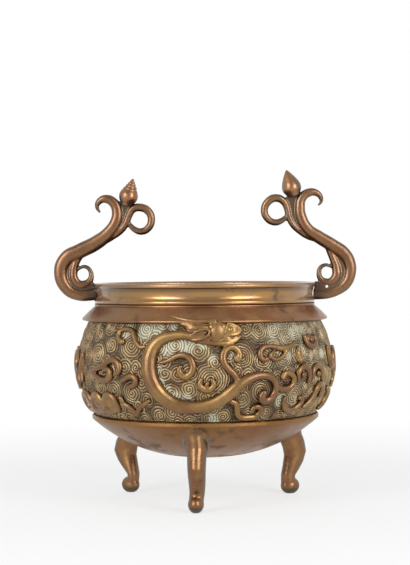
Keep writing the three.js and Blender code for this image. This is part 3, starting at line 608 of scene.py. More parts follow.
def chased_ground(colours):
    """Dull brown metal whose grooves hold old dirt, and pale residue in patches."""
    n = new_material("chased_ground")
    crest = n.attribute("crest")
    patch = n.noise(85, 5, 0.65)
    grit = n.noise(1000, 4, 0.6)
    bright = lighter(colours.ground, 2.1)
    metal = n.mix(n.spread(patch, 0.35, 0.7), lighter(colours.ground, 1.25), bright)
    metal = n.over(metal, lighter(colours.relief, 0.9), n.noise(190, 4), 0.45, 0.7, 0.7)
    brown = lighter(colours.ground, 0.3)
    dirt = n.mix(n.spread(n.noise(140, 4), 0.4, 0.6), colours.copper_dark, brown)
    patchy = n.math("MULTIPLY", n.math("SUBTRACT", patch, 0.5), 1.2)
    gritty = n.math("MULTIPLY", n.math("SUBTRACT", grit, 0.5), 0.5)
    pale = n.spread(n.math("ADD", n.attribute("residue"), patchy, gritty), 0.3, 0.85)
    groove = n.mix(pale, dirt, lighter(colours.residue, 0.42))
    crown = n.mix(pale, metal, lighter(colours.residue, 1.15))
    base = n.mix(n.spread(crest, 0.2, 0.62), groove, crown)
    bare = n.math("SUBTRACT", 1, n.math("MULTIPLY", pale, 0.75))
    fall = n.math("MULTIPLY", n.spread(n.attribute("fall"), 0.45, 1, 0, 0.75), bare)
    base = n.mix(fall, base, dirt)
    shade = n.math("MULTIPLY", n.spread(n.hollow(1.8 * MM), 0.35, 0.9, 0, 0.85), bare)
    base = n.mix(shade, base, colours.copper_dark)
    # Painted sheen: the ground turns grey-green toward its outline, where it faces away from the
    # eye.
    base = n.over(base, lighter(colours.residue, 0.4), n.glancing(), 0.45, 0.95, 0.6)
    # Painted shade on the band's left side.
    dark = lighter(colours.copper_dark, 2)
    base = n.painted_shade_left(base, dark, 0.5, BELLY_RADIUS, 0.75 * BELLY_RADIUS)
    rough = n.spread(crest, 0.3, 0.9, 0.7, 0.44)
    clean = n.math("SUBTRACT", 1, pale)
    metallic = n.math("MULTIPLY", n.spread(crest, 0.2, 0.6, 0.2, 0.8), clean)
    return n.close(base, rough, grit, 0.05 * MM, 0.5, metallic)


def high_relief(colours):
    """Warm metal rubbed bright on the crowns, with dark patina and painted shade where it meets the
    ground.
    """
    n = new_material("high_relief")
    mottle = n.noise(300, 5, 0.6)
    golden = lighter(colours.brass, 0.85)
    base = n.mix(n.spread(n.noise(60, 5), 0.38, 0.62), lighter(colours.relief, 0.78), golden)
    base = n.over(base, lighter(colours.relief, 0.72), n.noise(110, 4, 0.6), 0.45, 0.65, 0.5)
    base = n.over(base, lighter(colours.copper, 0.75), mottle, 0.45, 0.75, 0.6)
    # Dark patina and painted shade in the hollows, where the relief meets the ground.
    base = n.over(base, colours.copper_dark, n.hollow(2.6 * MM), 0.25, 0.75, 0.88)
    base = n.over(base, lighter(colours.relief, 1.3), n.edge(), 0.52, 0.6, 0.35)
    rough = n.spread(mottle, 0.3, 0.75, 0.38, 0.5)
    n.wax(0.3, 0.2)
    return n.close(base, rough, mottle, 0.02 * MM)


# Pieces


class BURNER_OT_lower_bowl(bpy.types.Operator):
    """Turn the shallow lower bowl and the plug in its bottom"""

    bl_idname = "burner.lower_bowl"
    bl_label = "Lower bowl"

    def execute(self, context):
        spigot = BAND_FOOT_RADIUS - BAND_WALL - SOLDER
        hole = PLUG_RADIUS - PLUG_GAP
        edge, top = BOWL_EDGE_RADIUS, BOWL_EDGE_TOP
        outline = [
            *bowl_curve(hole, edge - 0.4 * MM, 0)[1:],
            (edge, top - BOWL_RIM + 0.15 * MM),
            *corners_by(edge, top, (0, -0.5), (-0.45, 0)),
            (spigot, top),
            (spigot, top + SPIGOT_HEIGHT),
            (spigot - SPIGOT_WALL, top + SPIGOT_HEIGHT),
            *bowl_curve(spigot - SPIGOT_WALL, hole, -BOWL_WALL)[1:],
        ]
        turned_piece("lower_bowl", outline, bowl_copper, "polished_copper")
        outline = [*bowl_curve(0, PLUG_RADIUS, 0), *bowl_curve(PLUG_RADIUS, 0, -BOWL_WALL)]
        turned_piece("base_plug", rounded(outline, 0.2 * MM), bowl_copper, "polished_copper")
        return {"FINISHED"}


class BURNER_OT_shoulder_and_collar(bpy.types.Operator):
    """Turn the shoulder ring and the hollow-curved collar with its lip"""

    bl_idname = "burner.shoulder_and_collar"
    bl_label = "Shoulder and collar"

    def execute(self, context):
        fillet = 0.5 * MM
        edge = SHOULDER_EDGE_RADIUS + 0.9 * MM
        spigot = BAND_TOP_RADIUS - BAND_WALL - SOLDER
        ledge = WAIST_RADIUS + 0.9 * MM
        mouth = NECK_RADIUS + SPIGOT_WALL + SOLDER
        outline = [
            (spigot, SHOULDER_FOOT),
            *corners_by(edge, SHOULDER_FOOT, (-1.1, 0), (-0.1, 0.35), (0, 1.1), (-3, 4.2)),
            *corners_by(ledge, SHOULDER_TOP, (-0.2, -1.1), (0.15, -0.7), (0, -0.1)),
            *corners_by(mouth, SHOULDER_TOP, (0, -0.05), (0, -3)),
            (spigot - SPIGOT_WALL, SHOULDER_FOOT),
            (spigot - SPIGOT_WALL, SHOULDER_FOOT - SPIGOT_HEIGHT),
            (spigot, SHOULDER_FOOT - SPIGOT_HEIGHT),
        ]
        outline = rounded(outline, fillet)
        turned_piece("shoulder_ring", outline, polished_copper, "polished_copper")

        ridge = [(1.1, 0.35), (1.1, 1.3), (0.6, 1.8)]
        hollow = [(0.1, 2.5), (-0.1, 3.3), (-0.05, 4.3), (0.1, 5.3), (0.35, 6.3)]
        foot = COLLAR_FOOT - SPIGOT_HEIGHT + SOLDER
        outline = [
            (NECK_RADIUS + SPIGOT_WALL, SHOULDER_TOP),
            (WAIST_RADIUS + 0.6 * MM, SHOULDER_TOP),
            *corners_by(WAIST_RADIUS, COLLAR_FOOT, *ridge, *hollow),
            *corners_by(WAIST_RADIUS, RIM_TOP, (0.6, -2.3)),
            *corners_by(LIP_RADIUS, RIM_TOP, (-0.1, -1.75), (0, -0.5), (-0.9, 0)),
            *corners_by(NECK_RADIUS, RIM_TOP, (0.9, 0), (0, -0.8)),
            (NECK_RADIUS, foot),
            (NECK_RADIUS + SPIGOT_WALL, foot),
        ]
        turned_piece("neck_collar", rounded(outline, fillet), brassy_collar, "brassy_collar")
        return {"FINISHED"}


# Middles of the whorls on the front half: degrees round the bowl, height share, size share
FRONT_WHORLS = [
    (-76, 0.3, 1), (-72, 0.86, 1), (-66, 0.42, 1.1), (-64.5, 0.66, 1.2), (-62, 0.15, 1),
    (-58, 0.88, 0.9), (-55, 0.68, 1.3), (-54, 0.34, 1.2), (-50, 0.96, 1), (-46, 0.775, 0.9),
    (-44.5, 0.31, 1.3), (-37, 0.56, 1), (-34, 0.78, 1.5), (-34, 0.295, 1.3), (-31, 0.56, 0.9),
    (-32, 0.15, 0.8), (-28.5, 0.4, 0.9), (-27.5, 0.955, 1.1), (-22, 0.06, 1.1), (-17.3, 0.5, 0.8),
    (-14.5, 0.3, 1), (-13, 0.79, 1.2), (-11.5, 0.5, 1), (-7, 0.34, 1), (-2.8, 0.735, 1.3),
    (1, 0.03, 0.9), (2.4, 0.44, 1.9), (3.4, 0.84, 0.9), (8.5, 0.045, 0.9), (10.5, 0.68, 0.8),
    (15.6, 0.66, 1.5), (16.5, 0.235, 1.1), (18.5, 0.95, 1), (20, 0.06, 1), (24.8, 0.31, 1.2),
    (25.3, 0.93, 1.1), (25.5, 0.63, 1.1), (29.5, 0.05, 1), (33, 0.45, 0.8), (33, 0.935, 1.1),
    (36.3, 0.655, 1.1), (36.5, 0.2, 0.9), (43.8, 0.245, 1.2), (44.9, 0.68, 1.1), (45, 0.935, 1.1),
    (51.5, 0.66, 1), (52, 0.05, 0.9), (52, 0.3, 1), (53.5, 0.955, 1), (60, 0.68, 1),
    (60, 0.93, 1), (62, 0.12, 1), (66.5, 0.66, 1.1), (70, 0.45, 1), (72, 0.85, 1),
]
# Patches where pale residue lies thickest: degrees, height share, reach in degrees
RESIDUE = [
    (-38, 0.93, 3), (-28, 0.93, 4), (-22, 0.97, 3.5), (-15, 1, 3), (-20.6, 0.54, 2.6),
    (-19.8, 0.43, 2.8), (-17.4, 0.33, 3), (-13, 0.25, 3.2), (-8.5, 0.23, 3), (-16, 0.76, 4),
    (-8, 0.8, 4), (-1, 0.8, 2.4), (3, 0.66, 1.6), (12, 0.66, 2), (4, 0.02, 3), (39, 0.66, 2.2),
    (48, 0.72, 2.4), (64, 0.66, 3), (35.5, 0.19, 2.5), (44, 0.9, 2),
]
BAND_LENGTHS = 6
HALF_LENGTH = 180 / BAND_LENGTHS
# Distance between two rows of whorls, over that between two whorls of a row
ROW_PITCH = 0.84
# Degrees of the bowl that are as long as the band is high
HEIGHT_IN_DEGREES = 38


def whorls(spacing, middle):
    """Middles of the whorls about a direction: the listed ones and jittered rows between."""
    draw = np.random.default_rng(7)
    listed = FRONT_WHORLS + [(degrees + 180, share, size) for degrees, share, size in FRONT_WHORLS]
    reach = math.degrees(spacing / BELLY_RADIUS)
    rows = int(BAND_HEIGHT / (spacing * ROW_PITCH)) + 1
    made = list(listed)
    for row in range(rows + 1):
        degrees = -90 + (row % 2) * reach / 2
        while degrees < 270:
            across = degrees + draw.uniform(-0.22, 0.22) * reach
            share = (row + draw.uniform(-0.2, 0.2)) / rows
            size = draw.uniform(0.75, 1.25)
            degrees += reach
            gaps = [
                math.hypot((across - d) / reach, (share - s) * rows * ROW_PITCH) / (0.5 + 0.5 * k)
                for d, s, k in listed
            ]
            if min(gaps) > 0.78:
                made.append((across, share, size))
    turned_to = [((d - middle + 180) % 360 - 180 + middle, s, k) for d, s, k in made]
    return np.array([w for w in turned_to if abs(w[0] - middle) < 1.5 * HALF_LENGTH])


def chased_lines(x, z, spots, sizes):
    """For each place: the crest share of the lines (0 in a groove) and the fall of the whorl."""
    middle_x = np.radians(spots[:, 0]) * BELLY_RADIUS
    middle_z = BAND_FOOT + spots[:, 1] * BAND_HEIGHT
    wobble_x = 0.16 * MM * np.sin(x * 900 + 2 * np.sin(z * 700))
    wobble_z = 0.16 * MM * np.sin(z * 1100 + 2 * np.sin(x * 600))
    best = np.full(x.shape, 1e9)
    phase = np.zeros(x.shape)
    for index, (across, up) in enumerate(zip(middle_x, middle_z)):
        near = np.hypot(x - across, z - up) < 3 * sizes.whorl_spacing
        dx, dz = (x + wobble_x)[near] - across, (z + wobble_z)[near] - up
        away = np.hypot(dx, dz)
        reach = away / spots[index, 2]
        pitch = sizes.line_pitch * (1.12 - 0.16 * math.sin(math.radians(spots[index, 0])))
        hand = 1 if index % 2 else -1
        turn = away / pitch + hand * np.arctan2(dz, dx) / (2 * math.pi)
        closer = reach < best[near]
        best[near] = np.where(closer, reach, best[near])
        phase[near] = np.where(closer, turn, phase[near])
    crest = (0.5 + 0.5 * np.cos(2 * math.pi * phase)) ** 0.9
    return crest, np.clip(best / (0.7 * sizes.whorl_spacing), 0, 1) ** 2


def residue_share(degrees, shares, middle):
    """How thickly residue lies at each place: a veil on each half's right, and the patches."""
    folded = (degrees + 90) % 180 - 90
    veil = np.clip((folded - 5) / 25, 0, 1) * np.clip((88 - folded) / 22, 0, 1)
    made = 0.62 * veil * (0.45 + 0.55 * shares)
    for across, share, reach in RESIDUE:
        for turn in (-180, 0, 180, 360):
            if abs(across + turn - middle) <= HALF_LENGTH + 20:
                up = (shares - share) * HEIGHT_IN_DEGREES
                away = np.hypot(degrees - across - turn, up)
                made = np.maximum(made, 1.2 * np.exp(-((away / reach) ** 2)))
    return made


class BURNER_OT_chased_band(bpy.types.Operator):
    """Chase the whorls into the six lengths of the band"""

    bl_idname = "burner.chased_band"
    bl_label = "Chased band"

    def execute(self, context):
        for index in range(BAND_LENGTHS):
            middle = 2 * HALF_LENGTH * index
            band = self.length(f"chased_band_{index + 1}", middle, context.scene.burner_sizes)
            finish_piece(band, chased_ground, "chased_ground", "relief_band")
        return {"FINISHED"}

    def length(self, name, middle, sizes):
        """Carves a fine sheet, bent to the band about a direction, and gives it its wall."""
        deselect()
        bpy.ops.mesh.primitive_grid_add(
            x_subdivisions=sizes.chased_across, y_subdivisions=sizes.chased_up, size=2
        )
        grid = bpy.context.object
        flat = np.empty(len(grid.data.vertices) * 3)
        grid.data.vertices.foreach_get("co", flat)
        flat = flat.reshape(-1, 3)
        degrees = middle + HALF_LENGTH * flat[:, 0]
        shares = (flat[:, 1] + 1) / 2
        heights = BAND_FOOT + BAND_HEIGHT * shares
        spots = whorls(sizes.whorl_spacing, middle)
        crest, fall = chased_lines(np.radians(degrees) * BELLY_RADIUS, heights, spots, sizes)
        rim = np.minimum(heights - BAND_FOOT, BAND_TOP - heights)
        calm = np.clip(rim / (0.8 * MM), 0, 1)
        levels = np.linspace(BAND_FOOT, BAND_TOP, 400)
        profile = np.array([band_radius(z) for z in levels])
        radius = np.interp(heights, levels, profile)
        radius -= (sizes.line_depth * (1 - crest) + sizes.whorl_dome * fall) * calm
        turn = np.radians(degrees)
        place = np.stack([np.sin(turn) * radius, -np.cos(turn) * radius, heights], 1)
        grid.data.vertices.foreach_set("co", place.ravel())
        residue = residue_share(degrees, shares, middle)
        for layer, values in (("crest", crest), ("residue", residue), ("fall", fall)):
            attribute = grid.data.attributes.new(layer, "FLOAT", "POINT")
            attribute.data.foreach_set("value", values.astype(np.float32))
        self.close_back(grid, levels, profile, middle)
        smooth(grid, 60)
        return join(name, [grid])

    def close_back(self, grid, levels, profile, middle):
        """Gives a length its wall: a plainer sheet behind it, bridged to it all round."""
        bpy.ops.mesh.primitive_grid_add(x_subdivisions=30, y_subdivisions=12, size=2)
        back = bpy.context.object
        for vertex in back.data.vertices:
            z = BAND_FOOT + BAND_HEIGHT * (vertex.co.y + 1) / 2
            radius = float(np.interp(z, levels, profile)) - BAND_WALL
            vertex.co = around(math.radians(middle + HALF_LENGTH * vertex.co.x), radius, z)
        back.data.flip_normals()
        pick(grid, back)
        bpy.ops.object.join()
        bpy.ops.object.mode_set(mode="EDIT")
        bpy.ops.mesh.select_mode(type="EDGE")
        bpy.ops.mesh.select_all(action="DESELECT")
        bpy.ops.mesh.select_non_manifold(
            extend=False, use_wire=False, use_boundary=True,
            use_multi_face=False, use_non_contiguous=False, use_verts=False,
        )
        bpy.ops.mesh.bridge_edge_loops()
        bpy.ops.object.mode_set(mode="OBJECT")


# How much wider a strand is cast than its crown shows, as its foot runs out into the ground
STRAND_SWELL = 1.16


def relief_strand(stations, proud, full):
    """Round strand on the band through stations of degrees, height share and millimetres wide."""
    made = []
    for degrees, share, wide in stations:
        radius = wide / 2 * MM * STRAND_SWELL
        height = proud * math.sqrt(min(1.0, wide * MM / full))
        place, _, _, out = band_frame(degrees, share)
        made.append((place + out * (height - radius), radius))
    ends = [lump(place, [radius * 1.04] * 3) for place, radius in (made[0], made[-1])]
    return [bar(made, 8, 6), *ends]


def relief_pad(degrees, share, wide, tall, proud):
    """Low swelling on the band: its millimetres wide, tall and proud."""
    place, along, up, out = band_frame(degrees, share)
    turn = Matrix((along, up, out)).transposed()
    thick = 1.2 * MM
    return lump(place + out * (proud * MM - thick), (wide / 2 * MM, tall / 2 * MM, thick), turn)


# Low swellings inside a cloud: degrees, height share, and millimetres wide, tall and proud
PADS = {
    "lobe_cloud": [
        (-49.2, 0.125, 9.4, 6.4, 1.1), (-60.2, 0.12, 10, 6.4, 1.1), (-72, 0.12, 11.5, 6.6, 1.1),
    ],
    "hook_cloud_east": [(55, 0.86, 5.6, 4.6, 0.9)],
}
# Cloud scrolls of one half of the band, by the name of the solid that each stands for: strands of
# degrees, height share and millimetres wide
CLOUDS = {
    "inner_scroll": [
        [(-19.2, 0.625, 1.1), (-17, 0.635, 1.6), (-14.4, 0.665, 2), (-11.8, 0.7, 2.3),
         (-9.2, 0.71, 2.6), (-6.9, 0.685, 2.9), (-5.5, 0.63, 3), (-5.2, 0.56, 3.1),
         (-6.4, 0.5, 3.3), (-8.4, 0.475, 3.3), (-10.2, 0.5, 3.1), (-10.9, 0.55, 2.5),
         (-10.2, 0.58, 1.8)],
    ],
    "pearl_scroll": [
        [(-1.7, 0.44, 1.6), (-2.3, 0.39, 2.4), (-1.2, 0.345, 2.6), (0.8, 0.325, 2.7),
         (2.8, 0.345, 2.7), (3.6, 0.39, 2.5), (3, 0.435, 1.8)],
        [(0.6, 0.385, 1.5), (1, 0.4, 1.6)],
    ],
    "hook_cloud": [
        [(-39, 0.845, 2.6), (-39.8, 0.85, 2.5), (-41.4, 0.885, 2), (-42, 0.935, 2),
         (-40.4, 0.975, 2.1), (-37.6, 0.985, 2.2), (-34.7, 0.965, 2.4), (-33, 0.91, 2.4),
         (-31.4, 0.845, 2.2), (-29, 0.795, 2.1), (-26.6, 0.795, 1.6)],
    ],
    "ruyi_cloud_west": [
        [(-59, 0.495, 1.6), (-54.6, 0.525, 2.4), (-50, 0.565, 2.7), (-46.4, 0.615, 2.7),
         (-43.2, 0.64, 2.7), (-40.5, 0.615, 2.8), (-39.3, 0.56, 2.8), (-40, 0.505, 2.6),
         (-41.6, 0.495, 1.8)],
        [(-58, 0.485, 2), (-53.6, 0.435, 2.7), (-49.8, 0.405, 2.9), (-46.4, 0.42, 2.9),
         (-44.8, 0.47, 2.7), (-45.5, 0.525, 2.5), (-47.8, 0.525, 2.1), (-49.6, 0.5, 1.4)],
    ],
    "curl_cloud_west": [
        [(-38, 0.41, 1.9), (-36, 0.44, 2.4), (-33.2, 0.465, 2.5), (-31, 0.445, 2.6),
         (-30.8, 0.4, 2.6), (-32.8, 0.36, 2.4), (-35, 0.345, 1.7)],
    ],
    "wave_cloud_west": [
        [(-40.4, 0.215, 1.7), (-39.5, 0.155, 2.2), (-37.2, 0.12, 2.2), (-35.6, 0.08, 2.3),
         (-34.2, 0.035, 2.4), (-32.6, 0.07, 2.3), (-30.4, 0.125, 2.2), (-27.6, 0.165, 2),
         (-25.2, 0.2, 1.4)],
    ],
    "lobe_cloud": [
        [(-44.2, 0.07, 2), (-44.4, 0.15, 2.8), (-46, 0.215, 3.1), (-48.8, 0.235, 3.1),
         (-51.6, 0.195, 3), (-53.4, 0.12, 2.6), (-54.6, 0.05, 2)],
        [(-55.6, 0.06, 2), (-55, 0.14, 2.7), (-56.4, 0.205, 3.1), (-59.4, 0.225, 3.1),
         (-62.2, 0.185, 3), (-64.4, 0.12, 2.6), (-66, 0.04, 2)],
        [(-65.8, 0.06, 2), (-66.2, 0.14, 2.8), (-68.6, 0.205, 3.2), (-72.8, 0.22, 3.4),
         (-77, 0.17, 3.4), (-79, 0.09, 3), (-77, 0.03, 2)],
        [(-44.4, 0.08, 2), (-49, 0.045, 2.4), (-55, 0.05, 2.6), (-60, 0.04, 2.4),
         (-65.8, 0.05, 2.5), (-71, 0.03, 2.4), (-77, 0.03, 2)],
        [(-48.6, 0.12, 1.6), (-49.4, 0.13, 1.8)],
        [(-59.2, 0.12, 1.6), (-60, 0.13, 1.8)],
    ],
    "leaf_cloud": [
        [(-68.5, 0.67, 2), (-70.6, 0.57, 4.8), (-71.5, 0.47, 4.4), (-70, 0.38, 2)],
    ],
    "hook_cloud_west": [
        [(-76, 0.6, 1.8), (-79, 0.68, 2.9), (-83, 0.67, 2.9), (-84.6, 0.57, 2.9),
         (-82, 0.48, 2.9), (-77.5, 0.42, 2.9), (-76.6, 0.33, 2.7), (-79.6, 0.28, 1.8)],
    ],
    "ruyi_cloud_east": [
        [(43.3, 0.83, 1.1), (40.2, 0.79, 1.7), (37.2, 0.765, 2.3), (34.4, 0.765, 2.5),
         (31, 0.785, 2.1), (27.8, 0.79, 2.1), (25, 0.765, 2.4), (24, 0.705, 2.5),
         (25.1, 0.65, 2.5), (27.2, 0.655, 1.9)],
        [(37.4, 0.75, 1.6), (36.6, 0.715, 1.6), (34.6, 0.67, 1.7), (31.8, 0.645, 1.8),
         (29.6, 0.66, 1.8), (29, 0.7, 1.7), (30.3, 0.73, 1.3)],
    ],
    "bud_east": [
        [(44.6, 0.755, 2), (44.9, 0.71, 4.8), (45, 0.665, 5.2), (45, 0.625, 3)],
    ],
    "hook_cloud_east": [
        [(50.4, 0.88, 1.7), (51.6, 0.8, 2.5), (54.8, 0.765, 2.7), (58, 0.8, 2.6),
         (58.8, 0.88, 1.8)],
        [(54.6, 0.84, 2.2), (55.2, 0.86, 2.4)],
    ],
    "spiral_cloud_a": [
        [(30.6, 0.4, 2.2), (33, 0.335, 2.5), (36.6, 0.31, 2.6), (40.2, 0.345, 2.5),
         (41.2, 0.42, 2.5), (39, 0.475, 2.5), (36.2, 0.485, 2.6), (34.9, 0.44, 2.3)],
    ],
    "spiral_cloud_b": [
        [(43.8, 0.41, 1.8), (43.9, 0.485, 2.4), (46.4, 0.54, 2.7), (49.8, 0.52, 2.7),
         (51.4, 0.45, 2.5), (51, 0.38, 1.8)],
        [(46.6, 0.46, 2), (47.2, 0.45, 2.2)],
    ],
    "spiral_cloud_c": [
        [(54, 0.42, 1.8), (54.2, 0.49, 2.4), (57, 0.54, 2.7), (60.4, 0.52, 2.7),
         (62.6, 0.45, 2.5), (63, 0.38, 1.8)],
        [(58, 0.46, 2), (58.8, 0.45, 2.2)],
    ],
    "wave_cloud_east": [
        [(37.2, 0.2, 2), (38.2, 0.13, 2.7), (40.6, 0.075, 2.9), (44.2, 0.06, 2.7),
         (47.8, 0.1, 2.5), (49, 0.17, 2.4), (46.8, 0.195, 1.7)],
    ],
    "tail_cloud": [
        [(11.4, 0.195, 1.9), (13.6, 0.165, 2.6), (14.5, 0.1, 2.7), (15.2, 0.035, 2.7),
         (17.4, 0.005, 2.7), (20.8, 0, 2.7), (24.2, 0.01, 2.7), (26, 0.06, 2.7),
         (25.3, 0.115, 2.5), (22.7, 0.12, 2), (21.4, 0.09, 1.4)],
    ],
    "flame_cloud": [
        [(70.5, 0.74, 1.8), (71.6, 0.65, 3.3), (73.6, 0.56, 3.3), (77, 0.52, 2.8),
         (78.8, 0.58, 1.7)],
    ],
    "knob_cloud": [
        [(73, 0.26, 1.8), (76.6, 0.24, 3.1), (79.4, 0.16, 3.3), (77.6, 0.07, 3.1),
         (73, 0.03, 1.9)],
    ],
    "foot_cloud": [
        [(52.6, 0.08, 1.7), (55.2, 0.12, 2.5), (57.6, 0.2, 2.7), (59, 0.29, 2.7),
         (62.6, 0.33, 2.6), (65, 0.27, 2.5), (64.4, 0.19, 1.7)],
    ],
    "side_cloud": [
        [(86.6, 0.72, 1.7), (83.4, 0.66, 2.9), (82.4, 0.56, 3), (84.6, 0.47, 2.9),
         (88.4, 0.42, 2.9), (89, 0.32, 2.7), (86, 0.27, 1.6)],
    ],
}


class BURNER_OT_clouds(bpy.types.Operator):
    """Lay the cloud scrolls on both halves of the band"""

    bl_idname = "burner.clouds"
    bl_label = "Cloud scrolls"

    def execute(self, context):
        for name, strands in CLOUDS.items():
            bars = [p for s in strands for p in relief_strand(s, SCROLL_PROUD, SCROLL_WIDTH)]
            bars += [relief_pad(*pad) for pad in PADS.get(name, ())]
            cast_on_both_halves(name, bars)
        return {"FINISHED"}


# Dragon's body from its neck to its curled tail, and the scroll under its chin: degrees, height
# share, millimetres wide
DRAGON_BODY = [
    (0, 0.9, 4.4), (-5, 0.91, 4.2), (-10, 0.925, 3.5), (-14.5, 0.915, 4), (-18.6, 0.885, 4.9),
    (-21.9, 0.815, 5.8), (-23.8, 0.71, 6.5), (-24.3, 0.6, 6.9), (-24, 0.5, 7), (-22.8, 0.4, 6.9),
    (-20.6, 0.305, 6.7), (-17.6, 0.225, 6.4), (-13.8, 0.165, 6.2), (-9.4, 0.135, 6),
    (-4.8, 0.13, 5.7), (-0.2, 0.145, 5.5), (4, 0.18, 5.4), (7.8, 0.235, 5.4), (11, 0.3, 5.4),
    (14, 0.37, 5.1), (17.2, 0.425, 4.4), (20.6, 0.46, 3.8), (24, 0.475, 3.4), (27.4, 0.462, 3.2),
    (30.2, 0.415, 3.1), (31.4, 0.345, 2.9), (30.9, 0.265, 2.8), (28.6, 0.205, 3),
    (26.2, 0.2, 3.6), (25.2, 0.24, 3.8), (25.8, 0.28, 2.8),
]
DRAGON_CHIN = [
    (13.4, 0.4, 2.4), (13.2, 0.445, 2.6), (12, 0.5, 2.9), (10, 0.55, 3.1), (8.2, 0.61, 3.3),
    (7.6, 0.68, 3.3), (8.3, 0.745, 3.2), (10.2, 0.785, 2.9), (12.4, 0.785, 2.7),
    (14.2, 0.745, 2.6), (14.6, 0.69, 2.6), (13.6, 0.65, 2.4), (12.8, 0.68, 1.8),
]
HEAD_DEGREES = 3.0
HEAD_HEIGHT = BAND_TOP - 4 * MM


def head_frame(along):
    """Directions right and out at a place of the head, by its millimetres along the bowl."""
    turn = math.radians(HEAD_DEGREES) + along * MM / SHOULDER_EDGE_RADIUS
    return around(turn + math.pi / 2, 1, 0), around(turn, 1, 0)


def head_place(along, up, out):
    """Place on the dragon's head: millimetres from a point between cheek and ear."""
    _, outwards = head_frame(along)
    return outwards * (SHOULDER_EDGE_RADIUS + out * MM) + Vector((0, 0, HEAD_HEIGHT + up * MM))


def head_lump(along, up, out, size, tilt=0.0):
    """Ball on the head: half sizes along, out and up in millimetres, tilted in degrees."""
    right, outwards = head_frame(along)
    turn = Matrix((right, -outwards, Vector((0, 0, 1)))).transposed()
    turn = turn @ Matrix.Rotation(math.radians(tilt), 3, "Y")
    return lump(head_place(along, up, out), [s * MM for s in size], turn)


def head_line(places):
    """Strand on the head through places of along, up, out and half width in millimetres."""
    return bar([(head_place(a, u, o), r * MM) for a, u, o, r in places], 8, 3)


class BURNER_OT_dragons(bpy.types.Operator):
    """Cast the two horned dragons"""

    bl_idname = "burner.dragons"
    bl_label = "Dragons"

    def execute(self, context):
        body = relief_strand(DRAGON_BODY, DRAGON_PROUD, DRAGON_WIDTH)
        chin = relief_strand(DRAGON_CHIN, SCROLL_PROUD * 1.15, SCROLL_WIDTH)
        cast_on_both_halves("dragon", [*body, *chin, *self.head()], 4)
        return {"FINISHED"}

    def head(self):
        """Skull, brows, jaw, lips, ear and the horn that sweeps back over the shoulder."""
        skull = [
            head_lump(-6, 2.2, 0.2, (6, 2.3, 2.4)),
            head_lump(-6.4, -1, 0, (5.4, 2.2, 2.6), -18),
            head_lump(-5.9, -0.6, 1.7, (4.9, 1.4, 2.1), -21),
            head_lump(-1.4, -0.6, 0.4, (3, 2.2, 4)),
            head_lump(2.5, 0.6, 0.7, (4.5, 3.2, 4.9)),
            head_lump(0.4, 2.6, 1.1, (2.3, 2.2, 2.2)),
            head_lump(4.7, 2.6, 1.2, (2.3, 2.2, 2.2)),
            head_lump(6.6, -2.4, 1, (2.6, 2, 2)),
            head_lump(8.2, 0.8, 0.7, (4.6, 2.4, 3.7)),
            head_lump(8.3, 1.5, 2.3, (1.3, 1.2, 1.3)),
        ]
        jaw = head_line([(-11, -2.2, 0, 0.9), (-7.5, -3.2, 0.9, 1.2), (-3, -3.9, 1.5, 1.4),
                         (1, -4.4, 1.9, 1.6), (5, -4.7, 2, 1.6), (8.6, -4.2, 1.8, 1.35),
                         (11.4, -3, 1.4, 1), (13.3, -1.2, 0.9, 0.6)])
        lips = [
            head_line([(6.8, -0.9, 2.5, 0.6), (9.6, -0.9, 2.4, 0.7), (11.9, -0.2, 1.9, 0.7),
                       (12.9, 1.1, 1.5, 0.7), (12.3, 2.4, 1.4, 0.7), (10.6, 3.4, 1.6, 0.75),
                       (8.6, 4.1, 1.7, 0.75), (6.8, 4.4, 1.7, 0.7)]),
            head_line([(6.6, -3.2, 2.5, 0.5), (9, -2.9, 2.3, 0.5), (11.6, -1.9, 1.7, 0.45)]),
        ]
        ear = head_line([(-10.6, -2.4, 2, 0.45), (-8.8, -0.6, 2.9, 0.55), (-6.4, 0.9, 3.4, 0.6),
                         (-4, 1.8, 3.6, 0.6), (-2, 1.8, 3.7, 0.6), (-1.1, 0.6, 3.7, 0.6),
                         (-2.3, -1.3, 3.7, 0.6), (-4.8, -2.6, 3.5, 0.6), (-7.6, -3.1, 2.9, 0.55),
                         (-10.5, -2.6, 2, 0.45)])
        horn = head_line([(2, 5.2, 1, 1.5), (-2, 5.5, 0.8, 1.35), (-6, 5.4, 0.6, 1.2),
                          (-10.8, 5.9, 0.3, 1.05), (-15.2, 6.8, -0.4, 0.8),
                          (-19.6, 7.9, -1.5, 0.4)])
        mane = head_line([(-8, 2.8, 0.2, 2.2), (-12, 4, -0.5, 1.7), (-15.5, 5.2, -1, 1.1),
                          (-18.4, 6.4, -1.6, 0.6)])
        return [*skull, jaw, *lips, ear, horn, mane]


def handle_place(side, out, up):
    return Vector((side * (LIP_RADIUS + out * HANDLE_UNIT), 0, RIM_TOP + up * HANDLE_UNIT))


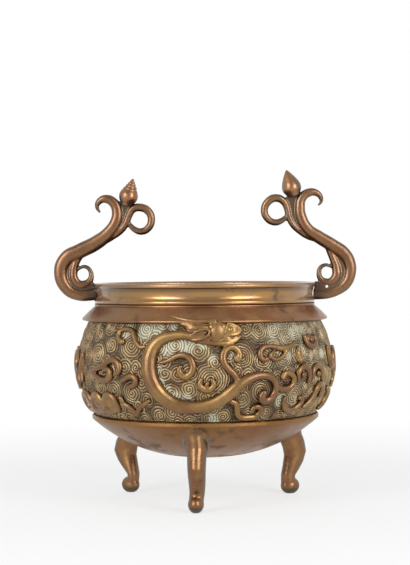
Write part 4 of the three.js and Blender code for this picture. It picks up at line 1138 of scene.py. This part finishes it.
# Stations of the handles' bars: outward from the lip, up from the rim, and width, all in
# hundredths of the handle's rise. Corners of the webs and the seat of the finial are given alike.
HANDLES = {
    "left": {
        "side": -1,
        "stem": [
            (-2.3, -12, 14.5), (5.7, -13.2, 13.4), (15.9, -13.4, 12.5), (29.3, -6.8, 13.6),
            (37, 11.4, 15.2), (30.7, 27.7, 16.4), (15.2, 35.9, 17.3), (-4.1, 45.7, 16.8),
            (-17.5, 56.6, 14.3), (-24.8, 67.7, 13.2), (-26.8, 78.6, 12.3), (-23.2, 89.1, 11.6),
            (-13.9, 94.1, 9.8), (-6.4, 90.9, 7), (-4.3, 85, 5), (-7.7, 78.6, 2),
        ],
        "ring": [
            (-8, 44.5, 8), (-20.5, 51.5, 7.6), (-30.5, 58.6, 8), (-36.6, 66.8, 8),
            (-40, 75.5, 8), (-44.4, 82.4, 9), (-53, 84.2, 9.4), (-61.8, 79.6, 9),
            (-65, 70.6, 8.6), (-61.6, 61.4, 8.4), (-53.8, 57.4, 8), (-46, 59.8, 6.8),
            (-40.2, 65.4, 5.4),
        ],
        "curl": [
            (8, 37.5, 7), (14.5, 31.5, 8.4), (20, 23, 9), (22.6, 13, 9.2), (21.5, 4, 10),
            (16.5, -1.4, 10.2), (10.5, -1.4, 9.6), (5, 2, 8), (2.8, 8, 5.8), (4.3, 14.5, 5),
            (9.2, 18.4, 4.4), (14.5, 17.6, 4), (18.4, 14.6, 3.6), (21, 11, 3),
        ],
        "crotch": [
            (-27.3, 92), (-39.8, 88.6), (-43.2, 81.8), (-39.3, 70.5), (-30.7, 56.8),
            (-17, 52.3), (-23.9, 68.2), (-26.1, 81.8),
        ],
        "bend": [
            (12.5, 30.7), (19.3, 20.5), (21.1, 9.1), (17, 1.1), (10.2, -2.3), (-1.1, 0.5),
            (-1.1, -15.9), (14.8, -13.6), (30.7, -4.5), (35.2, 11.4), (28.4, 27.3),
        ],
        "seat": (-38.4, 88.4, 13),
    },
    "right": {
        "side": 1,
        "stem": [
            (-2.3, -14.1, 12.3), (5.7, -14.5, 10.9), (14.3, -13.9, 10.2), (24.5, -10, 11.1),
            (33.9, -3, 12.3), (38.9, 8.2, 13.2), (38.4, 20.5, 14.1), (32.3, 31.1, 15.2),
            (20, 40, 15.5), (3.6, 50.2, 14.5), (-8, 58.6, 13.6), (-15, 72, 12.3),
            (-16.6, 83.2, 11.6), (-14.5, 93.2, 10.9), (-6.8, 99.5, 10), (2, 99.1, 7.7),
            (7, 93.6, 5.5), (6.8, 88.6, 3.6), (3.6, 85.2, 2),
        ],
        "ring": [
            (2, 47.5, 7.4), (-8, 50.8, 7.2), (-16.5, 56.2, 7), (-24.2, 63.4, 7.3),
            (-28.9, 72.4, 7.4), (-31, 82, 7.4), (-34.8, 89.8, 8.4), (-43.4, 93.8, 9.4),
            (-52, 89.8, 9), (-56.4, 80.5, 8.4), (-53.4, 71.4, 8), (-45.5, 66.6, 7.6),
            (-37.6, 68.2, 6.8), (-31, 73.4, 5),
        ],
        "curl": [
            (12, 43, 5), (16, 34.5, 7.4), (20.4, 25, 8.8), (23.8, 14.5, 10.6),
            (23.4, 5.5, 11), (18.5, 0.2, 9.6), (12.5, -0.4, 8), (6.4, 3, 7), (4.3, 9.5, 5.8),
            (6.4, 16, 5), (12.5, 18.6, 4.2), (18, 16.6, 3.2),
        ],
        "crotch": [
            (-15.9, 100), (-30.7, 97.7), (-34.1, 90.9), (-30, 79.5), (-22.7, 63.6),
            (-8, 54.5), (-13.6, 72.7), (-15.9, 86.4),
        ],
        "bend": [
            (13.6, 33), (20.5, 22.7), (22.7, 9.1), (18.2, 1.1), (12.5, -0.9), (-1.1, 0.5),
            (-1.1, -8), (12.5, -12.5), (33, -3.4), (37.5, 9.1), (30.7, 29.5),
        ],
        "seat": (-23.6, 98, 16.5),
    },
}
PINHOLE = (12.9, -5.4)
PINHOLE_RADIUS = 0.7 * MM
SOLDER_BLOB = (1.7 * MM, 2.6 * MM, 3.4 * MM)
WEBS = {"crotch": 1.7 * MM, "bend": 2.2 * MM}
# Half the depth that the thickest bar is pressed to, front to back
HALF_DEPTH = 4.2 * MM


def web(corners, thickness):
    """Flat plate in the handle's plane with the given corners."""
    plate = circle_through([corner + Vector((0, -thickness / 2, 0)) for corner in corners], "NGON")
    bpy.ops.mesh.extrude_region_move(TRANSFORM_OT_translate={"value": (0, thickness, 0)})
    leave_edit()
    return plate


def flattened(thing):
    """Presses a bar softly flatter from front to back."""
    for vertex in thing.data.vertices:
        vertex.co.y = HALF_DEPTH * math.tanh(vertex.co.y / HALF_DEPTH)
    return thing


class BURNER_OT_handles(bpy.types.Operator):
    """Cast the two scroll handles"""

    bl_idname = "burner.handles"
    bl_label = "Handles"

    def execute(self, context):
        grain = context.scene.burner_sizes.cast_grain
        for name, handle in HANDLES.items():
            side = handle["side"]
            parts = []
            for part in ("stem", "ring", "curl"):
                stations = [
                    (handle_place(side, out, up), wide * HANDLE_UNIT / 2)
                    for out, up, wide in handle[part]
                ]
                parts.append(flattened(bar(stations, 16, 12)))
            for part, thick in WEBS.items():
                corners = [handle_place(side, out, up) for out, up in handle[part]]
                parts.append(web(corners, thick))
            if name == "left":
                parts.append(lump(handle_place(side, -3, -10.4), SOLDER_BLOB))
            piece = fused(f"handle_{name}_cast", parts, grain * 1.15, 10)
            if name == "right":
                self.pierce(piece, handle_place(side, *PINHOLE))
            finish_piece(piece, handled_copper, "polished_copper", f"handle_{name}")
        return {"FINISHED"}

    def pierce(self, piece, place):
        """Drills the small casting hole between the lower curl and the stem."""
        deselect()
        bpy.ops.mesh.primitive_cylinder_add(
            vertices=24, radius=PINHOLE_RADIUS, depth=12 * MM, location=place,
            rotation=(math.pi / 2, 0, 0),
        )
        drill = bpy.context.object
        apply_modifier(piece, "BOOLEAN", operation="DIFFERENCE", object=drill, solver="EXACT")
        pick(drill)
        bpy.ops.object.delete()


# Outlines of the finials in millimetres: radius at each height
SHELL_CORE = [
    (-1, 2.7), (0, 3.1), (1, 3.9), (2.2, 4.5), (3.4, 4.75), (4.6, 4.65), (5.8, 4.2), (7, 3.5),
    (8.6, 2.6), (10.2, 1.7), (11.6, 0.9), (12.6, 0.35),
]
BUD = [
    (-1.2, 0), (-1.2, 2.8), (0.2, 3.6), (2, 4.7), (3.9, 4.8), (5.8, 4.3), (8.4, 3), (10.9, 1.4),
    (12.2, 0.4), (12.4, 0),
]


class BURNER_OT_finials(bpy.types.Operator):
    """Cast the whorled shell and the plain bud that stand on the handles"""

    bl_idname = "burner.finials"
    bl_label = "Finials"

    def execute(self, context):
        grain = context.scene.burner_sizes.cast_grain * 0.6
        bud = rounded([(radius * MM, height * MM) for height, radius in BUD], 1 * MM)
        for name, parts in (("left", self.shell()), ("right", [turned("bud", bud, 40)])):
            side = HANDLES[name]["side"]
            out, up, lean = HANDLES[name]["seat"]
            piece = fused(f"finial_{name}_cast", parts, grain)
            turn = Matrix.Rotation(math.radians(-side * lean), 4, "Y")
            piece.data.transform(Matrix.Translation(handle_place(side, out, up)) @ turn)
            finish_piece(piece, finial_copper, "polished_copper", f"finial_{name}")
        return {"FINISHED"}

    def shell(self):
        """Whorls wound up a cone that stands on a big smooth lowest whorl."""
        turns, points = 4.5, 80
        foot, top = 6.6, 12.4
        stations = []
        for i in range(points):
            t = i / (points - 1)
            angle = -2 * math.pi * turns * t
            height = foot + (top - foot) * (1 - (1 - t) ** 1.25)
            core = float(np.interp(height, *zip(*SHELL_CORE)))
            wide = (0.14 + 0.16 * core) * min(1, 0.3 + 6 * t)
            reach = core - 0.6 * wide
            turn = (self.lean(height) + reach * math.cos(angle), reach * math.sin(angle), height)
            stations.append((Vector(turn) * MM, wide * MM))
        core = [(Vector((self.lean(z), 0, z)) * MM, radius * MM) for z, radius in SHELL_CORE]
        return [bar(stations, 3, 3), bar(core, 8, 10)]

    def lean(self, height):
        """How far the shell's middle stands aside at a height."""
        return height / 25 - 0.5


def lofted(rings):
    """Closed skin drawn through rings that all have the same number of corners."""
    made = circle_through(rings[0], "NGON")
    for before, ring in zip(rings, rings[1:]):
        bpy.ops.mesh.extrude_region_move()
        mesh = bmesh.from_edit_mesh(made.data)
        for vertex in (v for v in mesh.verts if v.select):
            nearest = min(range(len(before)), key=lambda k: (before[k] - vertex.co).length)
            vertex.co = ring[nearest]
        bmesh.update_edit_mesh(made.data)
    leave_edit()
    return made


# How far each leg's knee and its whole foot stand further out than the plain leg's, how far it
# sways to the side, and how much slimmer its ankle is, in millimetres
LEGS = {"front": (0, 0, 0.7, 0), "right": (0, 0, 0, 0), "left": (1.1, 0.7, 0, 1.7)}
LEG_SIDES = 24
LEG_CIRCLE = [2 * math.pi * k / LEG_SIDES for k in range(LEG_SIDES)]


class BURNER_OT_legs(bpy.types.Operator):
    """Cast the three cabriole legs"""

    bl_idname = "burner.legs"
    bl_label = "Legs"

    def execute(self, context):
        grain = context.scene.burner_sizes.cast_grain
        for index, (name, ways) in enumerate(LEGS.items()):
            piece = self.leg(f"leg_{name}_cast", grain, *ways)
            turn = math.radians(-90 - LEG_TURN + 120 * index)
            piece.data.transform(Matrix.Rotation(turn, 4, "Z"))
            finish_piece(piece, leg_copper, "polished_copper", f"leg_{name}")
        return {"FINISHED"}

    def leg(self, name, grain, knee, shift, sway, slim):
        middle = LEG_ROOT / MM
        root = bowl_height(LEG_ROOT) / MM
        # middle radius, height, depth in and out, width across, tilt in degrees
        stations = [
            (middle + 1.6, root - 2.4, 12.6, 10, 0),
            (middle + 3 + knee / 2, 26.6, 13.3 + knee, 9.2, 3),
            (middle + 4.3 + knee, 22, 12.8 + knee, 8.8, 9),
            (middle + 3.8 + shift, 17.6, 10.8, 8.4, 20),
            (middle + 2.2 + shift - slim / 3, 13.3, 8.8 - slim / 2, 7.9, 20),
            (middle + 0.6 + shift - slim / 2, 9.4, 7.1 - slim, 7.3, 8),
            (middle + 0.7 + shift - slim / 3, 6.6, 7.5 - slim, 7.1, -6),
            (middle + 1.3 + shift, 3.8, 8.2, 7, -8),
        ]
        roots = ((1.75, 1.5, 1), (1.7, 1.45, 0.2), (1.4, 1.28, -0.25), (1.15, 1.12, -1))
        rings = [self.root_ring(*spread) for spread in roots]
        for radius, z, deep, wide, tilt in stations:
            lean = math.radians(tilt)
            aside = sway * min(1, max(0, (z - 5) / 6))
            ring = []
            for turn in LEG_CIRCLE:
                out = deep / 2 * math.cos(turn)
                across = wide / 2 * math.sin(turn) + aside
                corner = (radius + out * math.cos(lean), across, z - out * math.sin(lean))
                ring.append(Vector(corner) * MM)
            rings.append(ring)
        toe = lump(Vector((middle + 1.7 + shift, 0, 3.9)) * MM, (5 * MM, 3.8 * MM, 4.3 * MM))
        made = fused(name, [lofted(rings), toe], grain * 1.3, 6)
        for vertex in made.data.vertices:
            vertex.co.z = max(vertex.co.z, 0)
        return made

    def root_ring(self, deeper, wider, above):
        """Ring of the root that follows the bowl, a little above or below its outside."""
        ring = []
        for turn in LEG_CIRCLE:
            radius = LEG_ROOT + (0.8 + 6.1 * deeper * math.cos(turn)) * MM
            across = 4.8 * wider * math.sin(turn) * MM
            height = bowl_height(min(math.hypot(radius, across), BOWL_EDGE_RADIUS)) + above * MM
            ring.append(Vector((radius, across, height)))
        return ring


# Stage

# The photograph's own measures, in its pixels: focal length, and how far the horizon lies above
# its middle and the bowl's axis beside it. The camera's roll is in degrees.
PHOTO_FOCAL = 1706
PHOTO_HORIZON = 22.5
PHOTO_AXIS = 0.5
CAMERA_ROLL = -0.4
# The right lamp's place, what both lamps aim at, and their width and height, in metres
LAMP_PLACE = Vector((0.66, -0.76, 0.42))
LAMP_AIM = Vector((0, 0, 0.08))
LAMP_SIZE = (0.45, 0.7)
WHITE = (1, 1, 1, 1)
AIR_GREY = (0.55, 0.55, 0.55, 1)


class BURNER_OT_studio(bpy.types.Operator):
    """Set up the floor, the soft lamps, the surroundings and the camera"""

    bl_idname = "burner.studio"
    bl_label = "Studio"

    def execute(self, context):
        studio = context.scene.burner_studio
        self.floor(studio)
        self.surroundings(context.scene)
        for side in (-1, 1):
            self.lamp(side, studio.lamp_power)
        self.camera(context.scene, studio)
        context.scene.view_settings.view_transform = "Standard"
        return {"FINISHED"}

    def floor(self, studio):
        """White paper that keeps the object's shadow, and glows to the eye away from it."""
        deselect()
        bpy.ops.mesh.primitive_plane_add(size=12)
        floor = bpy.context.object
        floor.name = "studio_floor"
        n = new_material("studio_paper")
        n.link((*studio.paper, 1), n.shader.inputs["Base Color"])
        n.link(0.7, n.shader.inputs["Roughness"])
        n.link(0.2, n.shader.inputs["Specular IOR Level"])
        length = n.node("VectorMath", {0: n.object}, operation="LENGTH")
        away = n.spread(length.outputs["Value"], 0.1, 0.45, studio.paper_glow, 1)
        rays = n.node("LightPath").outputs
        seen = [rays[f"Is {kind} Ray"] for kind in ("Camera", "Glossy", "Transmission")]
        share = n.math("MULTIPLY", away, n.math("MAXIMUM", *seen))
        shades = {0: share, 1: n.shader.outputs[0], 2: n.node("Emission").outputs[0]}
        mixed = n.node("MixShader", shades)
        n.link(mixed.outputs[0], n.tree.nodes["Material Output"].inputs["Surface"])
        floor.data.materials.append(n.owner)

    def surroundings(self, scene):
        """Even grey air for light; white behind the object, the dimmer room before it."""
        scene.world = bpy.data.worlds.new("studio_air")
        n = Nodes(scene.world)
        plain = n.tree.nodes["Background"]
        plain.inputs["Color"].default_value = AIR_GREY
        white = n.node("Background", {"Color": WHITE})
        split = n.node("SeparateXYZ", {0: n.coordinates.outputs["Generated"]})
        ends = {"Value": split.outputs["Y"], "From Min": -0.75, "From Max": 0.35, "To Min": 0.42}
        dimmed = n.node("MapRange", ends).outputs["Result"]
        room = n.node("Background", {"Color": WHITE, "Strength": dimmed})
        rays = n.node("LightPath").outputs
        last = plain.outputs[0]
        for kind, shade in (("Glossy", room), ("Transmission", white), ("Camera", white)):
            shades = {0: rays[f"Is {kind} Ray"], 1: last, 2: shade.outputs[0]}
            last = n.node("MixShader", shades).outputs[0]
        n.link(last, n.tree.nodes["World Output"].inputs["Surface"])

    def lamp(self, side, power):
        place = LAMP_PLACE * Vector((side, 1, 1))
        turn = (LAMP_AIM - place).to_track_quat("-Z", "Y").to_euler()
        bpy.ops.object.light_add(type="AREA", location=place, rotation=turn)
        lamp = bpy.context.object
        lamp.name = "softbox_left" if side < 0 else "softbox_right"
        lamp.data.shape = "RECTANGLE"
        lamp.data.size, lamp.data.size_y = LAMP_SIZE
        lamp.data.energy = power

    def camera(self, scene, studio):
        drop = math.atan(PHOTO_HORIZON / PHOTO_FOCAL)
        yaw = math.atan(PHOTO_AXIS / PHOTO_FOCAL)
        turn = (
            Matrix.Rotation(-yaw, 3, "Z")
            @ Matrix.Rotation(math.pi / 2 - drop, 3, "X")
            @ Matrix.Rotation(math.radians(CAMERA_ROLL), 3, "Z")
        )
        place = (0, -studio.distance, studio.eye_height)
        bpy.ops.object.camera_add(location=place, rotation=turn.to_euler())
        camera = bpy.context.object
        camera.data.lens = studio.lens
        camera.data.sensor_width = 36
        camera.data.clip_start = 0.01
        scene.camera = camera


class BURNER_PT_panel(bpy.types.Panel):
    """Lists the burner's pieces in the order they are made"""

    bl_idname = "BURNER_PT_panel"
    bl_label = "Incense burner"
    bl_space_type = "VIEW_3D"
    bl_region_type = "UI"
    bl_category = "Burner"

    def draw(self, context):
        layout = self.layout
        for group in ("burner_sizes", "burner_colours", "burner_studio"):
            settings = getattr(context.scene, group)
            for name in settings.__annotations__:
                layout.prop(settings, name)
        for operator in OPERATORS:
            layout.operator(operator.bl_idname)


GROUPS = {
    "burner_sizes": BurnerSizes,
    "burner_colours": BurnerColours,
    "burner_studio": BurnerStudio,
}
OPERATORS = (
    BURNER_OT_lower_bowl,
    BURNER_OT_shoulder_and_collar,
    BURNER_OT_chased_band,
    BURNER_OT_clouds,
    BURNER_OT_dragons,
    BURNER_OT_handles,
    BURNER_OT_finials,
    BURNER_OT_legs,
    BURNER_OT_studio,
)


def register():
    for cls in (*GROUPS.values(), *OPERATORS, BURNER_PT_panel):
        bpy.utils.register_class(cls)
    for name, cls in GROUPS.items():
        setattr(bpy.types.Scene, name, PointerProperty(type=cls))


def unregister():
    for name in GROUPS:
        delattr(bpy.types.Scene, name)
    for cls in reversed((*GROUPS.values(), *OPERATORS, BURNER_PT_panel)):
        bpy.utils.unregister_class(cls)


def main():
    register()
    for operator in OPERATORS:
        name = operator.bl_idname.split(".")[1]
        getattr(bpy.ops.burner, name)()


if __name__ == "__main__":
    main()
